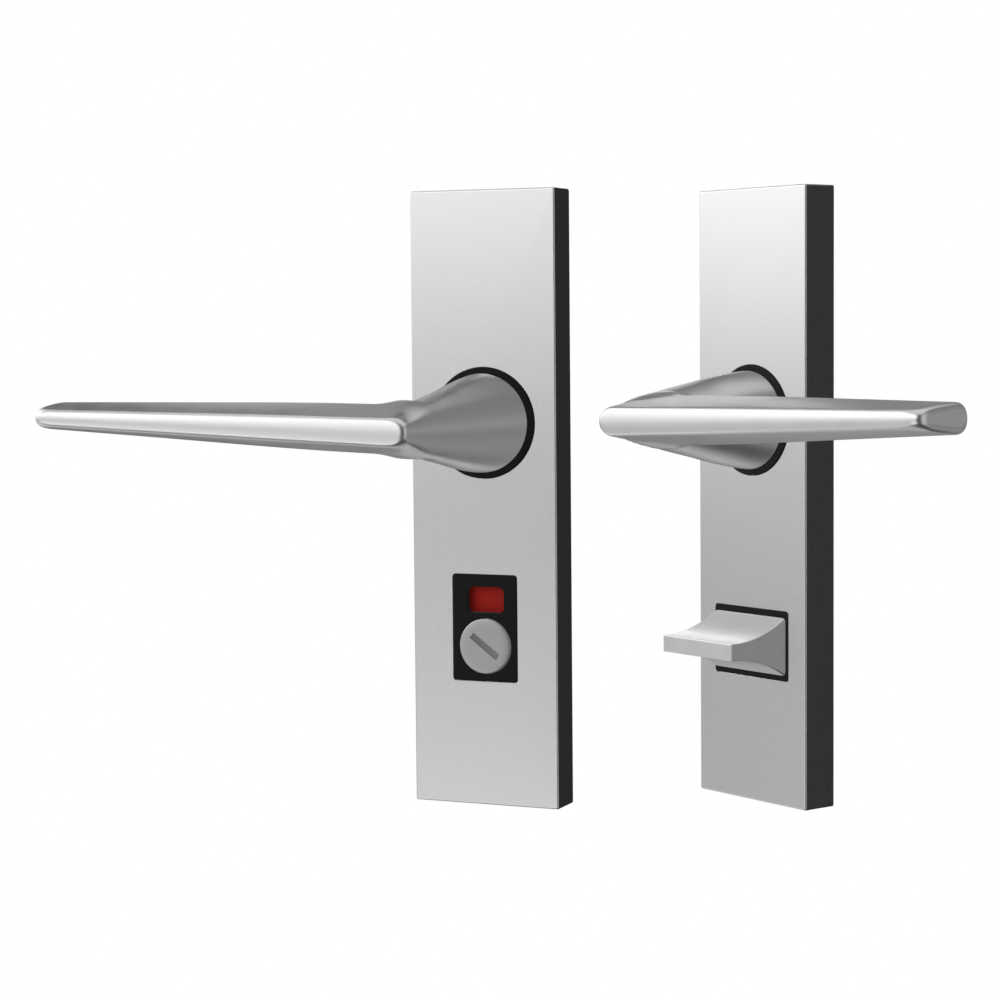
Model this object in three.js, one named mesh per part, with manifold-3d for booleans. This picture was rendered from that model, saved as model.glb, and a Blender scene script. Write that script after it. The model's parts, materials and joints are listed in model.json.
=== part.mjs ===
// Privacy door lever set: an outside half with occupancy window and coin release, and an inside half
// with a thumb turn. Millimetres, +Z up. The origin is the outside lever's axis at the door's face.
// Each half is built in face coordinates: x to the right, y up, z straight out of the door,
// with the lever's axis at x = y = 0 and the door's face at z = 0.
import * as THREE from "three";
import { mergeVertices } from "three/addons/utils/BufferGeometryUtils.js";
import Module from "manifold-3d";

// Cover plate
const PLATE_WIDTH = 42;
const PLATE_HEIGHT = 165;
const PLATE_DEPTH = 10.5;
const PLATE_CENTRE_DROP = 20.5; // plate centre below the lever's axis
const EDGE_CHAMFER = 0.6;
const WALL = 1.5;
const GAP = 0.3; // between pieces that touch
const BACKPLATE_THICKNESS = 1.5;
const INNER_FLOOR = BACKPLATE_THICKNESS + GAP; // where pieces inside the cover start
const REACH_BEHIND = 11; // how far spindles, tails and fixings stand behind the door's face

// Where the halves stand in the set
const INSIDE_OFFSET_X = 69.7;
const INSIDE_OFFSET_Y = 30.7;
const INSIDE_TURN = -30; // degrees about Z

// Lever, in its own u (along the grip), h (up) and n (out of the door)
const LEVER_REACH = 108.3;
const LEVER_PROJECTION = 60;
const GRIP_REAR = 43.5;
const GRIP_FRONT_HALF_ROOT = 3.6;
const GRIP_FRONT_HALF_TIP = 2.0;
const GRIP_REAR_HALF_ROOT = 7.8;
const GRIP_REAR_HALF_TIP = 3.45;
const GRIP_DROP = 0.5; // grip's centreline below the axis
const LEVER_TILT = 1.7; // degrees above level at rest
const NECK_RADIUS = 13.2;
const NECK_START = 11.2;
const NECK_OUTER_TIP = 4.5;

// Bearing of the lever
const LEVER_HOLE_RADIUS = 15;
const JOURNAL_RADIUS = 11;
const JOURNAL_START = 7;
const TAIL_RADIUS = 8.5;
const TAIL_FLAT = 7.4; // half the width across the tail's flats
const TAIL_START = 1.9;
const SPINDLE_SIDE = 8;
const SPINDLE_END = 29.7;
const GRUB_SCREW_Z = 18;
const GRUB_SCREW_RADIUS = 2.4;
const SPRING_WIRE = 1.4;
const SPRING_RADIUS = 12.3;
const SPRING_TURNS = 2;
const HOUSING_INNER = 16.4;
const HOUSING_OUTER = 18;
const HOUSING_TOP = 7.2;
const BUSH_LOW = 7.5;
const BUSH_PROUD = 0.3;
const BUSH_COLLAR_RADIUS = 17;
const CIRCLIP_Z = 4.1;
const CIRCLIP_THICKNESS = 0.9;
const CAM_TOP = 6.7;
const CAM_THICKNESS = 1;
const CAM_RADIUS = 12.4;
const CAM_LUG_RADIUS = 15.9;
const CAM_LUG_ANGLE = 90; // degrees, for a lever to the left, as the stops are
const CAM_LUG_HALF = 11;
const REST_STOP_ANGLE = 70.5;
const END_STOP_ANGLE = 155;
const STOP_HALF = 6;

// Privacy furniture below the lever
const TURN_DROP = 60; // turn axis below the lever's axis
const INSERT_LONG = 28.4;
const INSERT_SHORT = 18.4;
const INSERT_BACK = 8;
const INSERT_LIP = 1.5;
const INSERT_CORNER = 0.8;
const OUTSIDE_INSERT_RISE = 4.9; // insert centre above the turn axis
const STEM_RADIUS = 4;
const STEM_GROOVE_RADIUS = 3.3;
const STEM_GROOVE_WIDTH = 1.1;
const STEM_CLIP_THICKNESS = 0.7;
const RELEASE_CLIP_Z = 4.9;
const SNIB_CLIP_Z = 6.8;
const TAIL_SQUARE = 5;
const DISC_RADIUS = 7.4;
const DISC_PROUD = 0.4;
const DISC_THICKNESS = 1.7;
const COIN_SLOT_ANGLE = -37; // degrees from level
const COIN_SLOT_LENGTH = 9.6;
const COIN_SLOT_WIDTH = 1.7;
const COIN_SLOT_DEPTH = 1;
const WINDOW_WIDTH = 11.1;
const WINDOW_HEIGHT = 7.1;
const WINDOW_RISE = 12.5; // window centre above the turn axis
const WINDOW_CORNER = 1.5;
const WHEEL_RADIUS = 17.2;
const WHEEL_LOW = 6;
const WHEEL_HIGH = 6.9;
const WHEEL_HUB = 5.6;
const WHEEL_FROM = -25; // degrees; the wheel is a sector that ends at WHEEL_TO
const WHEEL_TO = 115;
const KEY_FLAT = 3.3; // stem's axis to the flat that drives the wheel
const FLAG_FROM = 65;
const FLAG_LOW = 7.2;
const FLAG_HIGH = 7.6;
const SNIB_WIDTH = 27.5;
const SNIB_BASE = 14.7;
const SNIB_TIP = 4.5;
const SNIB_BASE_Z = 10.9;
const SNIB_FOOT = 0.9;
const SNIB_TIP_Z = 30;
const SNIB_TAIL_TOP = 16;
const BALL_RADIUS = 1.2;
const DETENT_Z = 3.6;
const DETENT_WIRE = 0.44;
const DETENT_TURNS = 3;

// Fixings of the backplates
const FIXING_HEIGHTS = { upper: 42, lower: -84 };
const FIXING_RADIUS = 2;
const POST_RADIUS = 3.9;
const POST_FLANGE_RADIUS = 6;
const SCREW_HEAD_RADIUS = 4;
const SCREW_HEAD_TOP = 4.4;

const wasm = await Module();
wasm.setup();

const radians = THREE.MathUtils.degToRad;
const lerp = THREE.MathUtils.lerp;

// ---- solids -------------------------------------------------------------------------------------

function solid(geometry) {
  const bare = geometry.clone();
  bare.deleteAttribute("normal");
  bare.deleteAttribute("uv");
  const merged = mergeVertices(bare, 1e-4);
  return new wasm.Manifold(
    new wasm.Mesh({
      numProp: 3,
      vertProperties: new Float32Array(merged.attributes.position.array),
      triVerts: new Uint32Array(merged.index.array),
    }),
  );
}

function geometryOf(body) {
  const mesh = body.getMesh();
  const geometry = new THREE.BufferGeometry();
  geometry.setAttribute("position", new THREE.BufferAttribute(mesh.vertProperties, 3));
  geometry.setIndex(new THREE.BufferAttribute(mesh.triVerts, 1));
  const flat = geometry.toNonIndexed();
  flat.computeVertexNormals();
  return flat;
}

function cut(base, ...tools) {
  const result = tools.reduce((body, tool) => body.subtract(solid(tool)), solid(base));
  return geometryOf(result);
}

function join(...geometries) {
  const [first, ...rest] = geometries.map(solid);
  return geometryOf(rest.reduce((body, other) => body.add(other), first));
}

function keep(base, region) {
  return geometryOf(solid(base).intersect(solid(region)));
}

// ---- basic shapes, all with z out of the door -----------------------------------------------------

function block(x0, x1, y0, y1, z0, z1) {
  const geometry = new THREE.BoxGeometry(x1 - x0, y1 - y0, z1 - z0);
  return geometry.translate((x0 + x1) / 2, (y0 + y1) / 2, (z0 + z1) / 2);
}

function rod(radius, z0, z1, x = 0, y = 0, sides = 32) {
  const geometry = new THREE.CylinderGeometry(radius, radius, z1 - z0, sides);
  geometry.rotateX(Math.PI / 2);
  return geometry.translate(x, y, (z0 + z1) / 2);
}

function crossRod(radius, y0, y1, x, z, sides = 20) {
  const geometry = new THREE.CylinderGeometry(radius, radius, Math.abs(y1 - y0), sides);
  return geometry.translate(x, (y0 + y1) / 2, z);
}

function ring(inner, outer, z0, z1, sides = 36) {
  const corners = [
    [inner, z0],
    [outer, z0],
    [outer, z1],
    [inner, z1],
    [inner, z0],
  ];
  const profile = corners.map(([r, z]) => new THREE.Vector2(r, z));
  return new THREE.LatheGeometry(profile, sides).rotateX(Math.PI / 2);
}

function roundedRectangle(width, height, radius) {
  const x = width / 2;
  const y = height / 2;
  const shape = new THREE.Shape();
  shape.moveTo(-x + radius, -y);
  shape.lineTo(x - radius, -y);
  shape.absarc(x - radius, -y + radius, radius, -Math.PI / 2, 0);
  shape.lineTo(x, y - radius);
  shape.absarc(x - radius, y - radius, radius, 0, Math.PI / 2);
  shape.lineTo(-x + radius, y);
  shape.absarc(-x + radius, y - radius, radius, Math.PI / 2, Math.PI);
  shape.lineTo(-x, -y + radius);
  shape.absarc(-x + radius, -y + radius, radius, Math.PI, 1.5 * Math.PI);
  return shape;
}

function slab(shape, z0, z1, curveSegments = 2) {
  const options = { depth: z1 - z0, bevelEnabled: false, curveSegments };
  return new THREE.ExtrudeGeometry(shape, options).translate(0, 0, z0);
}

function roundedBlock(width, height, radius, z0, z1, y = 0) {
  return slab(roundedRectangle(width, height, radius), z0, z1).translate(0, y, 0);
}

// Turns an extruded profile so that its x becomes y, its y becomes z and its depth becomes x.
function standOnX(geometry) {
  const turn = new THREE.Matrix4().set(0, 0, 1, 0, 1, 0, 0, 0, 0, 1, 0, 0, 0, 0, 0, 1);
  return geometry.applyMatrix4(turn);
}

// A piece of a ring between two angles in degrees.
function arcBlock(inner, outer, from, to, z0, z1, segments = 3) {
  const shape = new THREE.Shape();
  shape.absarc(0, 0, outer, radians(from), radians(to), false);
  shape.absarc(0, 0, inner, radians(to), radians(from), true);
  shape.closePath();
  return slab(shape, z0, z1, segments);
}

// A wire of round section through the given points.
function wire(points, radius, steps, sides = 6) {
  const section = new THREE.Shape();
  section.absarc(0, 0, radius, 0, 2 * Math.PI);
  return new THREE.ExtrudeGeometry(section, {
    steps,
    curveSegments: sides / 2,
    bevelEnabled: false,
    extrudePath: new THREE.CatmullRomCurve3(points, false, "centripetal"),
  });
}

// Mirrors an angle for a lever that points the other way: side is -1 for left, 1 for right.
function sided(angle, side) {
  return 90 - side * (angle - 90);
}

// ---- plates -------------------------------------------------------------------------------------

function coverPlate(insertOutline, insertY) {
  const inset = 2 * EDGE_CHAMFER;
  const outline = roundedRectangle(PLATE_WIDTH - inset, PLATE_HEIGHT - inset, EDGE_CHAMFER);
  const bevelled = new THREE.ExtrudeGeometry(outline, {
    depth: PLATE_DEPTH,
    curveSegments: 2,
    bevelThickness: EDGE_CHAMFER,
    bevelSize: EDGE_CHAMFER,
    bevelSegments: 1,
  }).translate(0, -PLATE_CENTRE_DROP, -EDGE_CHAMFER);
  const room = block(-50, 50, -150, 150, 0, PLATE_DEPTH + 1);
  const shell = keep(bevelled, room);
  const pocket = roundedBlock(
    PLATE_WIDTH - 2 * WALL,
    PLATE_HEIGHT - 2 * WALL,
    0.5,
    -1,
    PLATE_DEPTH - WALL,
    -PLATE_CENTRE_DROP,
  );
  const leverHole = rod(LEVER_HOLE_RADIUS, 0, PLATE_DEPTH + 2, 0, 0, 40);
  const insertHole = slab(insertOutline, 0, PLATE_DEPTH + 2).translate(0, insertY, 0);
  return cut(shell, pocket, leverHole, insertHole);
}

function backplate(fixingHoleRadius) {
  const margin = 2 * (WALL + GAP);
  const plate = roundedBlock(
    PLATE_WIDTH - margin,
    PLATE_HEIGHT - margin,
    1,
    0,
    BACKPLATE_THICKNESS,
    -PLATE_CENTRE_DROP,
  );
  const through = BACKPLATE_THICKNESS + 1;
  const holes = Object.values(FIXING_HEIGHTS).map((y) => {
    return rod(fixingHoleRadius, -1, through, 0, y, 24);
  });
  const spindleHole = rod(SPINDLE_SIDE / Math.SQRT2 + 2 * GAP, -1, through);
  const turnHole = rod(STEM_RADIUS + GAP, -1, through, 0, -TURN_DROP, 24);
  return cut(plate, spindleHole, turnHole, ...holes);
}

// A bent leaf that grips the cover's end wall; end is 1 at the top and -1 at the bottom.
function coverClip(end) {
  const reach = PLATE_HEIGHT / 2 - WALL - GAP;
  const thickness = 0.5;
  const foot = reach - 10;
  const top = 7;
  const profile = new THREE.Shape();
  profile.moveTo(foot, INNER_FLOOR);
  profile.lineTo(reach, INNER_FLOOR);
  profile.lineTo(reach, top);
  profile.lineTo(reach - thickness, top);
  profile.lineTo(reach - thickness, INNER_FLOOR + thickness);
  profile.lineTo(foot, INNER_FLOOR + thickness);
  profile.closePath();
  const leaf = standOnX(slab(profile, -6, 6));
  if (end < 0) leaf.rotateZ(Math.PI);
  return leaf.translate(0, -PLATE_CENTRE_DROP, 0);
}

function fixingPost(y) {
  const flange = rod(POST_FLANGE_RADIUS, INNER_FLOOR, INNER_FLOOR + 1.4, 0, y, 24);
  const shank = rod(POST_RADIUS, -REACH_BEHIND, INNER_FLOOR + 0.7, 0, y, 24);
  return cut(join(flange, shank), rod(FIXING_RADIUS, -REACH_BEHIND - 1, 1, 0, y, 16));
}

function fixingScrew(y) {
  const head = rod(SCREW_HEAD_RADIUS, INNER_FLOOR, SCREW_HEAD_TOP, 0, y, 24);
  const shank = rod(FIXING_RADIUS, -REACH_BEHIND, INNER_FLOOR + 0.7, 0, y, 16);
  const driveRadius = 1.7;
  const drive = rod(driveRadius, SCREW_HEAD_TOP - 1.5, SCREW_HEAD_TOP + 1, 0, y, 6);
  return cut(join(head, shank), drive);
}

// ---- lever --------------------------------------------------------------------------------------

// Half the grip's height at u along it and n out of the door.
function gripHalf(u, n) {
  const along = u / LEVER_REACH;
  const rear = lerp(GRIP_REAR_HALF_ROOT, GRIP_REAR_HALF_TIP, along);
  const front = lerp(GRIP_FRONT_HALF_ROOT, GRIP_FRONT_HALF_TIP, along);
  const across = (n - GRIP_REAR) / (LEVER_PROJECTION - GRIP_REAR);
  const crown = 2; // four times how far the flanks bulge
  return lerp(rear, front, across) + crown * across * (1 - across);
}

// The grip's section, with heights from -1 to 1: flat front, rounded rear corners.
function gripSection() {
  const depth = LEVER_PROJECTION - GRIP_REAR;
  const rearCorner = 3;
  const frontCorner = depth - 1.2;
  const rearFlat = 0.6;
  const frontFlat = 0.7;
  const shape = new THREE.Shape();
  shape.moveTo(-rearFlat, 0);
  shape.lineTo(rearFlat, 0);
  shape.quadraticCurveTo(1, 0, 1, rearCorner);
  shape.lineTo(1, frontCorner);
  shape.quadraticCurveTo(1, depth, frontFlat, depth);
  shape.lineTo(-frontFlat, depth);
  shape.quadraticCurveTo(-1, depth, -1, frontCorner);
  shape.lineTo(-1, rearCorner);
  shape.quadraticCurveTo(-1, 0, -rearFlat, 0);
  return shape;
}

// The grip as an extrusion along u whose heights follow gripHalf. Result in u, h, n.
function grip() {
  const rounding = 3.5; // length of the rounded root end
  const crowding = 1.3; // above 1, the steps crowd towards the root
  const geometry = new THREE.ExtrudeGeometry(gripSection(), {
    depth: LEVER_REACH,
    steps: 11,
    curveSegments: 3,
    bevelEnabled: false,
  });
  const place = geometry.attributes.position;
  for (let i = 0; i < place.count; i++) {
    const u = LEVER_REACH * (place.getZ(i) / LEVER_REACH) ** crowding;
    const n = GRIP_REAR + place.getY(i);
    const closing = Math.max(0, 1 - u / rounding);
    const half = gripHalf(u, n) * Math.sqrt(1 - 0.75 * closing ** 2);
    place.setXYZ(i, u, place.getX(i) * half - GRIP_DROP, n);
  }
  return turnFacesIfInside(geometry);
}

// Vertex moves that swap axes can leave faces pointing inwards; this turns them back.
function turnFacesIfInside(geometry) {
  if (solid(geometry).volume() > 0) return geometry;
  const flat = geometry.index ? geometry.toNonIndexed() : geometry;
  const place = flat.attributes.position;
  const a = new THREE.Vector3();
  const b = new THREE.Vector3();
  for (let i = 0; i < place.count; i += 3) {
    a.fromBufferAttribute(place, i + 1);
    b.fromBufferAttribute(place, i + 2);
    place.setXYZ(i + 1, b.x, b.y, b.z);
    place.setXYZ(i + 2, a.x, a.y, a.z);
  }
  return flat;
}

// How far the neck reaches under the grip at n: straight, then a fillet into the grip's rear.
function neckInner(n) {
  const filletStart = 28;
  const filletEnd = GRIP_REAR + 2;
  const filletRadius = 8;
  const taper = 0.06;
  const end = 3;
  const straight = NECK_RADIUS - taper * (n - NECK_START);
  const into = THREE.MathUtils.clamp((n - filletStart) / (filletEnd - filletStart), 0, 1);
  const flare = filletRadius * (1 - Math.sqrt(1 - into ** 2));
  const close = THREE.MathUtils.smoothstep(n, filletEnd, LEVER_PROJECTION);
  return lerp(straight + flare, end, close);
}

// The neck: an oval cone from the bearing to the front of the elbow. Result in u, h, n.
function neck() {
  const belowFront = 0.4;
  const tall = LEVER_PROJECTION - belowFront - NECK_START;
  const geometry = new THREE.CylinderGeometry(1, 1, 1, 28, 9);
  const place = geometry.attributes.position;
  for (let i = 0; i < place.count; i++) {
    const share = place.getY(i) + 0.5;
    const n = NECK_START + tall * share;
    const outer = lerp(NECK_RADIUS, NECK_OUTER_TIP, share);
    const half = lerp(NECK_RADIUS, GRIP_FRONT_HALF_ROOT, share);
    const across = place.getX(i);
    const u = across * (across > 0 ? neckInner(n) : outer);
    place.setXYZ(i, u, place.getZ(i) * half - GRIP_DROP * share, n);
  }
  return turnFacesIfInside(geometry);
}

// The whole lever for one side, with journal, tail, spindle socket and grub screw hole.
function lever(side) {
  const handle = join(neck(), grip());
  if (side < 0) handle.rotateZ(Math.PI).scale(1, -1, 1);
  const outside = side < 0 ? turnFacesIfInside(handle) : handle;
  const journal = rod(JOURNAL_RADIUS, JOURNAL_START, NECK_START + 0.5);
  const tail = keep(
    rod(TAIL_RADIUS, TAIL_START, JOURNAL_START + 0.5),
    block(-TAIL_FLAT, TAIL_FLAT, -20, 20, 0, 20),
  );
  const socket = SPINDLE_SIDE / 2 + GAP;
  return cut(
    join(outside, journal, tail),
    block(-socket, socket, -socket, socket, 0, SPINDLE_END + GAP),
    crossRod(GRUB_SCREW_RADIUS + GAP, -20, -SPINDLE_SIDE / 2, 0, GRUB_SCREW_Z),
    ring(TAIL_RADIUS - 0.9, CAM_RADIUS, CIRCLIP_Z - 0.2, CIRCLIP_Z + CIRCLIP_THICKNESS + 0.2),
  );
}

function spindle() {
  const half = SPINDLE_SIDE / 2;
  return block(-half, half, -half, half, -REACH_BEHIND, SPINDLE_END);
}

function grubScrew() {
  const inner = -SPINDLE_SIDE / 2 - 2 * GAP;
  const outer = -10;
  const driveRadius = 1.3;
  const screw = crossRod(GRUB_SCREW_RADIUS, outer, inner, 0, GRUB_SCREW_Z);
  return cut(screw, crossRod(driveRadius, outer - 1, outer + 2, 0, GRUB_SCREW_Z, 6));
}

// ---- bearing and spring cassette of a lever -------------------------------------------------------

function bush() {
  const bore = JOURNAL_RADIUS + 0.25;
  const seat = ring(bore, LEVER_HOLE_RADIUS - GAP, BUSH_LOW, PLATE_DEPTH + BUSH_PROUD, 40);
  const collar = ring(bore, BUSH_COLLAR_RADIUS, BUSH_LOW, PLATE_DEPTH - WALL - GAP, 40);
  return join(seat, collar);
}

function waveWasher() {
  const middle = (CAM_TOP + BUSH_LOW) / 2;
  const half = 0.12;
  const wave = 0.12;
  const washer = ring(JOURNAL_RADIUS + GAP, 13.4, middle - half, middle + half, 24);
  const place = washer.attributes.position;
  for (let i = 0; i < place.count; i++) {
    const angle = Math.atan2(place.getY(i), place.getX(i));
    place.setZ(i, place.getZ(i) + wave * Math.sin(3 * angle));
  }
  return washer;
}

function springHousing(side) {
  const wall = ring(HOUSING_INNER, HOUSING_OUTER, INNER_FLOOR, HOUSING_TOP, 32);
  const inWall = (HOUSING_INNER + HOUSING_OUTER) / 2;
  const stops = [REST_STOP_ANGLE, END_STOP_ANGLE].map((angle) => {
    const from = sided(angle, side) - STOP_HALF;
    return arcBlock(13.7, inWall, from, from + 2 * STOP_HALF, INNER_FLOOR, HOUSING_TOP, 2);
  });
  const ear = () => block(-5, 5, inWall, HOUSING_OUTER + 4, INNER_FLOOR, INNER_FLOOR + 1.2);
  return join(wall, ...stops, ear(), ear().rotateZ(Math.PI));
}

function springCam(side) {
  const middle = sided(CAM_LUG_ANGLE, side);
  const underside = CAM_TOP - CAM_THICKNESS;
  const disc = rod(CAM_RADIUS, underside, CAM_TOP);
  const lug = arcBlock(
    CAM_RADIUS - 0.6,
    CAM_LUG_RADIUS,
    middle - CAM_LUG_HALF,
    middle + CAM_LUG_HALF,
    INNER_FLOOR + 0.4,
    CAM_TOP,
    2,
  );
  const flats = block(-TAIL_FLAT - GAP, TAIL_FLAT + GAP, -20, 20, 0, 20);
  const hole = keep(rod(TAIL_RADIUS + GAP, 0, 9), flats);
  // The lug clears the coils inside it.
  const coilRoom = ring(10, SPRING_RADIUS + SPRING_WIRE / 2 + 0.4, 1, underside);
  return cut(join(disc, lug), hole, coilRoom);
}

// A torsion spring whose legs stand out beside the rest stop and the cam's lug.
function returnSpring(side) {
  const from = REST_STOP_ANGLE - STOP_HALF - 6;
  const to = CAM_LUG_ANGLE + CAM_LUG_HALF + 5 + 360 * SPRING_TURNS;
  const low = INNER_FLOOR + SPRING_WIRE / 2;
  const high = CAM_TOP - CAM_THICKNESS - GAP - SPRING_WIRE / 2;
  const at = (angle, radius, z) => {
    const a = radians(sided(angle, side));
    return new THREE.Vector3(radius * Math.cos(a), radius * Math.sin(a), z);
  };
  const legReach = 15.4;
  const halfLeg = (legReach + SPRING_RADIUS) / 2;
  const points = [at(from, legReach, low), at(from + 1, halfLeg, low)];
  const steps = 22 * SPRING_TURNS;
  for (let i = 0; i <= steps; i++) {
    const share = i / steps;
    points.push(at(lerp(from + 6, to - 6, share), SPRING_RADIUS, lerp(low, high, share)));
  }
  points.push(at(to - 1, halfLeg, high), at(to, legReach, high));
  return wire(points, SPRING_WIRE / 2, 54);
}

// An open ring, with its gap at the bottom.
function circlip(inner, outer, z, thickness) {
  return arcBlock(inner, outer, -60, 240, z, z + thickness, 7);
}

function leverCirclip() {
  return circlip(TAIL_RADIUS - 0.6, TAIL_RADIUS + 2, CIRCLIP_Z, CIRCLIP_THICKNESS);
}

function stemCirclip(z) {
  const clip = circlip(STEM_GROOVE_RADIUS + GAP, STEM_RADIUS + 1.6, z, STEM_CLIP_THICKNESS);
  return clip.translate(0, -TURN_DROP, 0);
}

// ---- privacy furniture ----------------------------------------------------------------------------

// Block under an insert that holds the detent spring and ball, below the turn axis.
function detentBlock() {
  const top = -TURN_DROP - STEM_RADIUS - 2;
  const depth = 4.3;
  const body = block(-3, 3, top - depth, top, INNER_FLOOR + 0.2, INSERT_BACK + 0.4);
  const bore = crossRod(BALL_RADIUS + 0.35, top - depth + 0.7, top + 1, 0, DETENT_Z, 16);
  return cut(body, bore);
}

function detentBall() {
  const ball = new THREE.SphereGeometry(BALL_RADIUS, 10, 6);
  return ball.translate(0, -TURN_DROP - STEM_RADIUS - GAP - BALL_RADIUS, DETENT_Z);
}

function detentSpring() {
  const top = -TURN_DROP - STEM_RADIUS - 2 * BALL_RADIUS - 2 * GAP;
  const bottom = -TURN_DROP - STEM_RADIUS - 5.3;
  const steps = 12 * DETENT_TURNS;
  const points = [];
  for (let i = 0; i <= steps; i++) {
    const a = (2 * Math.PI * DETENT_TURNS * i) / steps;
    const y = lerp(top, bottom, i / steps);
    points.push(new THREE.Vector3(Math.cos(a), y, DETENT_Z + Math.sin(a)));
  }
  return wire(points, DETENT_WIRE / 2, 8 * DETENT_TURNS);
}

// The face and lip that every insert has: the face fills the cover's hole, the lip lies behind it.
function insertBody(width, height, y) {
  const face = roundedBlock(
    width - 2 * GAP,
    height - 2 * GAP,
    INSERT_CORNER,
    INSERT_BACK,
    PLATE_DEPTH,
    y,
  );
  const lip = roundedBlock(
    width + 2 * INSERT_LIP,
    height + 2 * INSERT_LIP,
    INSERT_CORNER,
    INSERT_BACK,
    PLATE_DEPTH - WALL - GAP,
    y,
  );
  return join(face, lip, detentBlock());
}

// Two feet, mirrored in x, from the floor up into the insert.
function feet(x, halfWidth, y0, y1) {
  const foot = block(x - halfWidth, x + halfWidth, y0, y1, INNER_FLOOR, INSERT_BACK + 0.3);
  return [foot, foot.clone().translate(-2 * x, 0, 0)];
}

function outsideInsert() {
  const y = -TURN_DROP + OUTSIDE_INSERT_RISE;
  const top = y + INSERT_LONG / 2 + INSERT_LIP;
  const body = join(
    insertBody(INSERT_SHORT, INSERT_LONG, y),
    ...feet(7.5, 1.5, -TURN_DROP - 10, -TURN_DROP - 7),
    ...feet(5, 2, top - 1.3, top),
  );
  const outOfFace = PLATE_DEPTH + 2;
  const windowY = -TURN_DROP + WINDOW_RISE;
  return cut(
    body,
    rod(DISC_RADIUS + GAP, PLATE_DEPTH + DISC_PROUD - DISC_THICKNESS - GAP, outOfFace, 0, -TURN_DROP),
    rod(STEM_RADIUS + GAP, 0, outOfFace, 0, -TURN_DROP, 24),
    roundedBlock(WINDOW_WIDTH, WINDOW_HEIGHT, WINDOW_CORNER, 0, outOfFace, windowY),
  );
}

function insideInsert() {
  const y = -TURN_DROP;
  const body = join(
    insertBody(INSERT_LONG, INSERT_SHORT, y),
    ...feet(13, 1.5, y - 10, y - 7),
    ...feet(13, 1.5, y + 7, y + 10),
  );
  return cut(body, rod(STEM_RADIUS + GAP, 0, PLATE_DEPTH + 2, 0, y, 24));
}

// Round stem of a turn with its circlip groove and the two dimples of the detent.
function stem(top, clipZ, secondDimple) {
  const shaft = rod(STEM_RADIUS, TAIL_START, top, 0, 0, 24);
  const grooveZ = clipZ - 0.2;
  const groove = ring(STEM_GROOVE_RADIUS, 6, grooveZ, grooveZ + STEM_GROOVE_WIDTH, 24);
  const reach = STEM_RADIUS + BALL_RADIUS;
  const dimples = [270, secondDimple].map((angle) => {
    const x = reach * Math.cos(radians(angle));
    const y = reach * Math.sin(radians(angle));
    return new THREE.SphereGeometry(BALL_RADIUS + 0.2, 10, 6).translate(x, y, DETENT_Z);
  });
  return cut(shaft, groove, ...dimples);
}

function coinRelease() {
  const top = PLATE_DEPTH + DISC_PROUD;
  const underside = top - DISC_THICKNESS;
  const disc = rod(DISC_RADIUS, underside, top);
  const half = TAIL_SQUARE / 2;
  const tail = block(-half, half, -half, half, -REACH_BEHIND, TAIL_START + 0.3);
  const body = join(disc, stem(underside + 0.3, RELEASE_CLIP_Z, 180), tail);
  const long = COIN_SLOT_LENGTH / 2;
  const wide = COIN_SLOT_WIDTH / 2;
  const slot = block(-long, long, -wide, wide, top - COIN_SLOT_DEPTH, top + 1);
  slot.rotateZ(radians(COIN_SLOT_ANGLE));
  const flat = block(-5, 5, KEY_FLAT, 6, WHEEL_LOW - 0.1, WHEEL_HIGH + 0.9);
  return cut(body, slot, flat).translate(0, -TURN_DROP, 0);
}

function indicatorWheel() {
  const inHub = WHEEL_HUB - 0.6;
  const sector = arcBlock(inHub, WHEEL_RADIUS, WHEEL_FROM, WHEEL_TO, WHEEL_LOW, WHEEL_HIGH, 8);
  const hub = rod(WHEEL_HUB, WHEEL_LOW, WHEEL_HIGH);
  const bore = rod(STEM_RADIUS + GAP, WHEEL_LOW - 1, WHEEL_HIGH + 1, 0, 0, 24);
  const key = cut(bore, block(-6, 6, KEY_FLAT + GAP, 7, WHEEL_LOW - 2, WHEEL_HIGH + 2));
  return cut(join(sector, hub), key).translate(0, -TURN_DROP, 0);
}

function indicatorFlag() {
  const flag = arcBlock(8, WHEEL_RADIUS - 0.2, FLAG_FROM, WHEEL_TO, FLAG_LOW, FLAG_HIGH, 4);
  return flag.translate(0, -TURN_DROP, 0);
}

// Half the thumb turn's thickness at z: a foot, then concave sides up to a thin front edge.
function snibHalf(z) {
  const foot = SNIB_BASE_Z + SNIB_FOOT;
  const share = THREE.MathUtils.clamp((z - foot) / (SNIB_TIP_Z - foot), 0, 1);
  const toBase = 1 - share;
  const arc = 1 - Math.sqrt(1 - toBase ** 2);
  return lerp(SNIB_TIP / 2, SNIB_BASE / 2, lerp(toBase ** 2, arc, 0.55));
}

function snib() {
  const steps = 12;
  const crowding = 1.4; // above 1, the steps crowd towards the foot
  const foot = SNIB_BASE_Z + SNIB_FOOT;
  const heights = Array.from({ length: steps + 1 }, (_, i) => {
    return lerp(foot, SNIB_TIP_Z, (i / steps) ** crowding);
  });
  const profile = new THREE.Shape();
  profile.moveTo(-SNIB_BASE / 2, SNIB_BASE_Z);
  profile.lineTo(SNIB_BASE / 2, SNIB_BASE_Z);
  heights.forEach((z) => profile.lineTo(snibHalf(z), z));
  [...heights].reverse().forEach((z) => profile.lineTo(-snibHalf(z), z));
  profile.closePath();
  const wing = standOnX(slab(profile, -SNIB_WIDTH / 2, SNIB_WIDTH / 2));
  const socket = TAIL_SQUARE / 2 + GAP;
  const body = join(wing, stem(SNIB_BASE_Z + 0.5, SNIB_CLIP_Z, 0));
  const hollow = block(-socket, socket, -socket, socket, 0, SNIB_TAIL_TOP + GAP);
  return cut(body, hollow).translate(0, -TURN_DROP, 0);
}

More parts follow.
